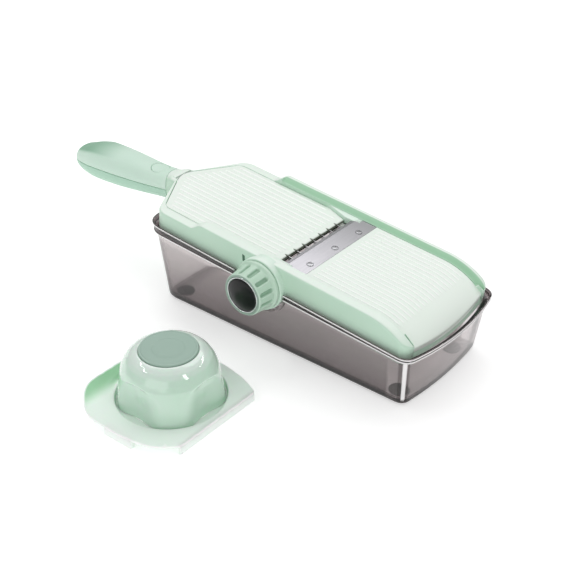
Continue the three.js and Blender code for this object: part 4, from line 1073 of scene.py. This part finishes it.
# The face: a grey-green band, a bright ring inside it and a low black dome.
def makeKnobFace():
    gridPiece(
        "knobFaceBand", turnedAboutKnob(knobLook["band"], 144), plastics["greyGreen"], "knob",
        wrapRows=True, caps=False)
    gridPiece("knobRing", turnedAboutKnob(knobLook["ring"], 144), chromeRing, "knob",
              ["knob_ring"], wrapRows=True, caps=False)
    gridPiece("knobCap", turnedAboutKnob(knobLook["cap"], 144), plastics["blackCap"], "knob",
              ["knob_cap"], caps=False)


makeKnob()
makeKnobFace()
print("knob made")

handleLook = {
    "plugX": -141.0, "plugRadius": 7.2, "dishFrom": -229.5, "dishTo": -166.0, "dishDepth": 2.0,
    "collarX": -108.0, "collarRadius": 20.3, "parting": 0.15, "edgeRound": 0.7,
    "seamFrom": -219.0, "seamTo": -129.0, "seamInset": 1.6, "seamHalf": 0.4,
    "plugDrops": [(0.0, 0.55), (2.0, 0.53), (4.0, 0.45), (5.6, 0.32), (6.4, 0.26), (6.85, 0.3), (7.1, 0.5),
                  (7.2, 0.9), (7.2, 3.0), (0.0, 3.0)],
}


# How far the grip's skin is drawn in at a point: the shallow dish along its top, and the seat of the round
# plug.
def gripRelief(x, y, wide):
    h = handleLook
    side = 0.86 * wide
    dish = smooth(x, h["dishFrom"], h["dishFrom"] + 7) * smooth(x, h["dishTo"], h["dishTo"] - 40)
    dish = dish * smooth(np.abs(y), side, side - 5.0)
    away = np.hypot(x - h["plugX"], y)
    seat = smooth(away, h["plugRadius"] + 0.65, h["plugRadius"] + 0.15) * 1.6
    return h["dishDepth"] * dish + seat


# Half of the handle: rings of the rounded section above or below the parting line, each closed along that
# line.
def halfHandle(upper):
    h = handleLook
    turns = np.linspace(0, math.pi, 101)
    turns = turns - 0.18 * np.sin(2 * turns)  # crowds the samples at the parting line
    c, s = bulge(np.cos(turns)), bulge(np.sin(turns))
    sign = 1.0 if upper else -1.0
    limit = h["collarX"] - np.sqrt(h["collarRadius"] ** 2 - (12.7 * c) ** 2)
    xs = np.concatenate([
            [-232.4, -232.35, -232.2, -232.0, -231.7], np.linspace(-231.3, -150, 120),
            np.linspace(-149.6, -132.4, 52), np.linspace(-131.6, -129, 4)])
    rows = []
    for x in [*xs, None]:
        xRow = limit if x is None else np.minimum(x, limit)
        wide, high, middle = handleAt(xRow)
        inset = h["edgeRound"] - np.sqrt(np.maximum(
            h["edgeRound"] ** 2 - np.clip(h["edgeRound"] - s * high, 0, h["edgeRound"]) ** 2, 0))
        inset = np.minimum(inset, 0.4 * wide)
        y = (wide - inset) * c
        z = middle + sign * np.maximum(high * s, h["parting"])
        if upper:
            z = z - gripRelief(xRow, y, wide) * np.clip(s * 1.6, 0, 1)
            z = np.maximum(z, middle + h["parting"])
        arc = np.stack([xRow, y, z], -1)
        flatY = np.linspace(y[-1], y[0], 6)[1:-1]
        flatX = np.interp(flatY, [y[-1], 0, y[0]], [xRow[-1], xRow[50], xRow[0]])
        flat = np.stack([flatX, flatY, np.full(4, float(np.mean(middle))) + sign * h["parting"]], -1)
        rows.append(np.concatenate([arc, flat]))
    return np.array(rows)


# The grip with painted shade along the middle of its dish, the shell below it, and a dark strip between
# them that paints the shade in the parting gap.
def makeHandle():
    h = handleLook
    grip = halfHandle(True)
    x, y = np.minimum(grip[..., 0], -100.0), grip[..., 1]
    wide = handleAt(x)[0]
    side = smooth(np.abs(y) / wide, 0.88, 0.62)
    shade = side * smooth(x, -176, h["dishFrom"] + 12) * smooth(x, h["dishFrom"] - 0.5, h["dishFrom"] + 3)
    gridPiece(
        "gripUpper", grip, plastics["softGrip"], "slicer", ["handle_grip_upper"], crease=50,
        marks={"shade": shade})
    gridPiece(
        "shellLower", halfHandle(False), plastics["gripShell"], "slicer", ["handle_shell_lower"],
        crease=50)
    x = np.linspace(h["seamFrom"], h["seamTo"], 12)
    wide, high, middle = handleAt(x)
    corners = [(-1, -1), (1, -1), (1, 1), (-1, 1)]
    seam = [np.stack([x, (wide - h["seamInset"]) * j, middle + h["seamHalf"] * k], -1) for j, k in corners]
    gridPiece("partingSeam", np.stack(seam, 1), plastics["grooveShade"], "slicer")


# The plug: a disc whose top follows the crown of the handle, a little below it, with a rounded rim.
def makePlug():
    x, y, drop = np.moveaxis(turnedUp(handleLook["plugDrops"], (handleLook["plugX"], 0), 72), -1, 0)
    wide, high, middle = handleAt(x)
    crown = middle + high * (1 - np.abs(y / wide) ** handlePower) ** (1 / handlePower)
    gridPiece(
        "thumbPlug", np.stack([x, y, crown - drop - 0.05], -1), plastics["softGrip"], "slicer",
        ["thumb_plug"], caps=False)


makeHandle()
makePlug()
print("handle made")

guard = {
    "x": 1.0, "y": -141.0, "front": 43.5, "frontHalf": 37.3, "near": 54.5, "far": 48.0, "back": -47.0,
    "top": 8.0, "thickness": 2.5, "curl": 10.5, "curlStart": -34.0, "tabX": 2.0, "flangeHalf": 36.9,
    "sheetFrom": 40.2, "underFrom": 40.6, "edgeIn": 1.3, "domeTop": 44.8, "domeWall": 2.2, "fluteDepth": 6.2,
    "fluteTop": 33.5,
    "tabCorners": [
        (-1, -1.5), (-0.98, -1.8), (0.98, -1.8), (1, -1.5), (1, 1.4), (0.98, 1.9), (-0.98, 1.9), (-1, 1.4)],
    "cup": [
        (31.0, 2.5), (31.0, 3.8), (31.3, 4.0), (33.0, 4.0), (37.4, 4.0), (38.2, 4.2), (38.6, 4.8),
        (38.7, 5.6), (38.75, 7.0), (38.9, 7.6), (39.3, 7.95), (40.2, 8.0)],
    "edge": [
        (1.0, 0.04), (0.6, 0.1), (0.25, -0.08), (0.05, -0.5), (0.0, -1.2), (0.1, -1.9), (0.5, -2.4),
        (1.0, -2.5)],
    "underCup": [(40.4, 5.2), (40.4, 4.0), (39.6, 2.9), (38.4, 2.3), (32.7, 2.3), (32.7, 0.3), (31.2, 0.3)],
    "dome": [
        (37.4, 4.3), (37.1, 8), (36.3, 13), (35.6, 18), (35.0, 23), (34.3, 27.5), (33.3, 31.8), (31.6, 35.8),
        (29.2, 39.6), (26.6, 42.2), (24.2, 43.7), (22.4, 44.5), (21.3, 44.8)],
    "discDrop": 4.2,
    "disc": [
        (0, 48.4), (20.1, 48.4), (20.3, 48.7), (20.3, 49.6), (20.15, 50.1), (19.8, 50.38), (19.3, 50.4),
        (18.9, 50.3), (18.6, 50.05), (18.2, 50.0), (14.0, 50.0), (11.6, 50.0), (11.3, 49.92), (11.0, 49.75),
        (10.7, 49.68), (6.0, 49.6), (0, 49.58)],
}
guardAxis = (guard["x"], guard["y"])


# Rise of the tray towards its curled back end: a quadratic curve through a knee half way, read off at x.
def trayRise(x):
    g = guard
    reach = g["curlStart"] - g["back"]
    past = np.maximum(0, g["curlStart"] - x)
    t = (-reach + np.sqrt(reach ** 2 + 16 * past)) / 8
    return g["curl"] * t ** 2


# The tray's outline seen from above, sampled at even directions from the cup's middle.
def trayOutline(count=400):
    g = guard

    def side(half, sign):
        return [[g["back"], sign * (half - 16), 10.0], [g["back"] + 18, sign * (half - 1), 11.0],
                [6.0, sign * half, 12.0], [g["front"] - 14, sign * (half - 4.5), 8.0],
                [g["front"], sign * g["frontHalf"], 2.0]]

    loop = roundedLoop(side(g["near"], -1) + side(g["far"], 1)[::-1], [16] * 10, [steps(6)] * 10)
    directions = np.arctan2(loop[:, 1], loop[:, 0])
    order = np.argsort(directions)
    directions, reach = directions[order], np.hypot(*loop.T)[order]
    angles = np.linspace(-math.pi, math.pi, count, endpoint=False)
    return angles, np.interp(angles, directions, reach, period=2 * math.pi)


# The tray is one closed section round the cup: from the hole over the cup's floor, up its wall, out over the
# rolled rim and the sheet to the outline, round the edge and back underneath.
def makeTray():
    g = guard
    angles, outline = trayOutline()
    c, s = np.cos(angles), np.sin(angles)
    rows = []

    # A ring at a radius and height that follows the curl of the sheet by a share.
    def ring(radius, height, follow):
        radius = np.broadcast_to(radius, angles.shape)
        x, y = radius * c, radius * s
        return np.stack([g["x"] + x, g["y"] + y, height + trayRise(x) * follow], -1)

    for radius, height in g["cup"]:
        rows.append(ring(radius, height, 0.0))
    for share in np.linspace(0.08, 1, 12):
        radius = g["sheetFrom"] + (outline - g["edgeIn"] - g["sheetFrom"]) * share
        rows.append(ring(np.maximum(radius, g["sheetFrom"] + 0.05), g["top"], float(smooth(share, 0, 0.4))))
    for back, up in g["edge"]:
        rows.append(ring(outline - back, g["top"] + up, 1.0))
    for share in np.linspace(0.9, 0.05, 7):
        radius = g["underFrom"] + (outline - g["edgeIn"] - g["underFrom"]) * share
        under = g["top"] - g["thickness"]
        rows.append(ring(np.maximum(radius, g["underFrom"] + 0.1), under, float(smooth(share, 0, 0.4))))
    for radius, height in g["underCup"]:
        rows.append(ring(radius, height, 0.0))
    flange = []
    for z, x0, x1 in ((0.0, 41.7, 43.1), (0.4, 41.3, 43.4), (7.0, 41.3, 43.4), (7.8, 41.9, 42.9)):
        half = g["flangeHalf"]
        flange.append([[x0, -half, z], [x1, -half + 0.4, z], [x1, half - 0.4, z], [x0, half, z]])
    tabs = []
    for side in (-1, 1):
        tab = []
        for z, lean, half in ((0.0, 0.5, 11.7), (0.5, 0.0, 12.4), (6.6, 0.0, 12.5)):
            middle = g["near"] - 3 if side < 0 else g["far"] - 3
            tab.append([[g["tabX"] + sx * half, side * (middle + sy), z] for sx, sy in g["tabCorners"]])
        tabs.append((np.array(tab, float) + [g["x"], g["y"], 0], False, True, True))
    extra = [(np.array(flange, float) + [g["x"], g["y"], 0], False, True, True), *tabs]
    # Painted highlight on the rounded outer edge, and painted shade on the sheet where it curls up at the
    # back.
    grid = np.array(rows)
    kinds = np.zeros(len(rows))
    kinds[26:29] = 1.0
    crestHighlight = np.repeat(kinds[:, None], grid.shape[1], 1)
    curl = smooth(grid[..., 0] - g["x"], g["curlStart"] + 2, g["back"] + 4)
    top = np.zeros(len(rows))
    top[12:24] = 1.0
    gridPiece(
        "guardTray", grid, plastics["paleGuard"], "guard", ["guard_tray"], wrapRows=True,
        caps=False, extra=extra, marks={"crestHighlight": crestHighlight, "shade": curl * top[:, None]})


# A finger flute: a scoop with an arched top. Its half angle narrows to nothing at the shoulder, and it is
# deepest along its middle.
def fluteFactor(angles, z):
    g = guard
    nearest = np.round(angles / (math.pi / 2)) * (math.pi / 2)
    off = np.abs(angles - nearest)
    height = np.clip((g["fluteTop"] - z) / 15.0, 0, 1)
    half = math.radians(36) * np.sqrt(np.clip(1 - (1 - height) ** 2.4, 0.0001, 1))
    scoop = smooth(off / half, 1.0, 0.1)
    deep = smooth(z, g["fluteTop"], 14)
    return g["fluteDepth"] * scoop * (0.4 + 0.6 * deep) * smooth(z, g["fluteTop"], g["fluteTop"] - 2.5)


# The dome: a profile turned about its axis with the four flutes pressed in, as an outer and an inner skin.
def makeDome():
    g = guard
    knots = np.array(g["dome"])
    rising = np.linspace(0, 1, len(knots))
    kernel = np.array([1, 2, 3, 2, 1]) / 9
    radius, height = [np.interp(np.linspace(0, 1, 90), rising, column) for column in knots.T]
    radius[2:-2] = np.convolve(radius, kernel, "valid")
    height[2:-2] = np.convolve(height, kernel, "valid")
    angles, z = np.meshgrid(np.linspace(0, 2 * math.pi, 288, endpoint=False), height)
    out = radius[:, None] - fluteFactor(angles, z)
    outer = around(guardAxis, out, angles, z)
    ceiling = g["domeTop"] - g["domeWall"] - 0.3
    inside = around(guardAxis, out - g["domeWall"], angles, np.minimum(z, ceiling))
    foot = around(guardAxis, out[:1] - 1.1, angles[:1], g["dome"][0][1])
    seat = [(20.9, 44.7), (20.65, 44.5), (20.6, 43.9), (0.0, 43.9), (0.0, 42.4), (12.0, 42.4)]
    rows = [foot, outer, turnedUp(seat, guardAxis, 288), inside[::-1][4:]]
    post = [(5.0, 43.0), (5.0, 8.9), (4.6, 8.3), (1.8, 8.3), (1.8, 20.0), (0.0, 20.0)]
    gridPiece("plungerDome", np.concatenate(rows), plastics["glossDome"], "plunger",
              ["plunger_dome"], wrapRows=True, caps=False,
              extra=[(turnedUp(post, guardAxis, 288), False, True, True)])


# The disc: a low pad with a bead near its edge and a shallow round dish in the middle.
def makeDisc():
    profile = np.array(guard["disc"]) - [0, guard["discDrop"]]
    gridPiece("plungerDisc", turnedUp(profile, guardAxis, 120), plastics["sageDisc"], "plunger",
              ["plunger_disc"], caps=False)


makeTray()
makeDome()
makeDisc()
print("hand guard made")

keptFinish = [
    (bladeSteel, ["blade_plate"]),
    (polishedSteel, ["julienne_comb", "ramp_hinge_pin", "cam_shaft", "shaft_clip", "handle_screw_1",
                     "handle_screw_2", "pin_plate_screw"]),
    # The carrier gets the near-black finish as painted shade, so the slot above it reads dark.
    (plastics["slotShadowNylon"], ["julienne_carrier"]),
    (plastics["whiteNylon"], ["knob_bush", "thickness_cam_near", "thickness_cam_far", "food_pin_plate"]),
    (plastics["siliconeFoot"], [f"container_foot_{i}" for i in (1, 2, 3, 4)]),
]
for finish, nodeNames in keptFinish:
    for nodeName in nodeNames:
        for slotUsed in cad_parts[nodeName].material_slots:
            slotUsed.material = finish
print("kept parts finished")

studio = {
    "floorHalf": 12.0, "floorGlow": 0.45, "world": 0.42, "topPower": 7.0, "fillPower": 3.6, "stripPower": 1.8,
    "target": (-10.475, 0.0, 18.449), "azimuth": 39.065, "elevation": 32.66, "distance": 900.04, "lens": 73.6,
}


# A square of pale paper at Z = 0, wide enough to fill the view.
def makeFloor():
    half = studio["floorHalf"]
    mesh = bpy.data.meshes.new("studioFloor")
    mesh.from_pydata(
        [(-half, -half, 0), (half, -half, 0), (half, half, 0), (-half, half, 0)], [], [(0, 1, 2, 3)])
    floor = bpy.data.objects.new("studioFloor", mesh)
    bpy.context.scene.collection.objects.link(floor)
    material, tree, shader, objectCoords = startMaterial("studioPaper")
    grain = addGrain(tree, objectCoords, 900.0, 3.0, 0.2)
    feed(tree, shader, {
        "Base Color": mixColour(tree, grain["Tone"], tint(228, 228, 228), tint(232, 232, 232)),
        "Emission Color": (1.0, 1.0, 1.0, 1.0), "Emission Strength": studio["floorGlow"], "Roughness": 0.9,
        "Specular IOR Level": 0.1,
    })
    mesh.materials.append(material)


def aimAt(thing, position, target):
    thing.location = position
    thing.rotation_euler = (Vector(target) - Vector(position)).to_track_quat("-Z", "Y").to_euler()


def addAreaLight(name, position, target, size, power):
    light = bpy.data.lights.new(name, "AREA")
    light.shape = "RECTANGLE"
    light.size, light.size_y = size
    light.energy = power
    lamp = bpy.data.objects.new(name, light)
    bpy.context.scene.collection.objects.link(lamp)
    aimAt(lamp, position, target)


# An even white world, two soft boxes, and three strips that draw lines of light along the clear box.
def makeStudio():
    makeFloor()
    world = bpy.data.worlds.new("studioWorld")
    world.use_nodes = True
    background = world.node_tree.nodes["Background"]
    feed(world.node_tree, background, {"Color": (1.0, 1.0, 1.0, 1.0), "Strength": studio["world"]})
    bpy.context.scene.world = world
    middle = place(np.array([0.0, 0.0, 30.0])).tolist()
    lights = [
        ("topSoftbox", (-0.45, 0.5, 1.15), (1.5, 1.0), studio["topPower"]),
        ("frontFill", (0.25, -1.3, 0.55), (1.2, 0.8), studio["fillPower"]),
        ("leftStrip", (-0.75, -0.5, 1.05), (0.9, 0.035), studio["stripPower"]),
        ("backStrip", (0.35, 0.95, 0.85), (0.9, 0.035), studio["stripPower"]),
        ("windowStrip", (0.95, -0.15, 0.8), (0.16, 0.5), studio["stripPower"]),
    ]
    for name, away, size, power in lights:
        addAreaLight(name, [m + a for m, a in zip(middle, away)], middle, size, power)
    bpy.context.scene.view_settings.view_transform = "Standard"


# The camera stands at a distance from its target, out by the azimuth and up by the elevation, and looks back
# at it.
def makeCamera():
    s = studio
    azimuth, elevation = math.radians(s["azimuth"]), math.radians(s["elevation"])
    back = np.array([
            math.sin(azimuth) * math.cos(elevation), -math.cos(azimuth) * math.cos(elevation),
            math.sin(elevation)])
    target = np.array(s["target"])
    data = bpy.data.cameras.new("productCamera")
    data.lens = s["lens"]
    data.sensor_width = 36.0
    data.clip_start = 0.05
    camera = bpy.data.objects.new("productCamera", data)
    bpy.context.scene.collection.objects.link(camera)
    aimAt(camera, place(target + back * s["distance"]).tolist(), place(target).tolist())
    bpy.context.scene.camera = camera


makeStudio()
makeCamera()
print("floor, light and camera set")
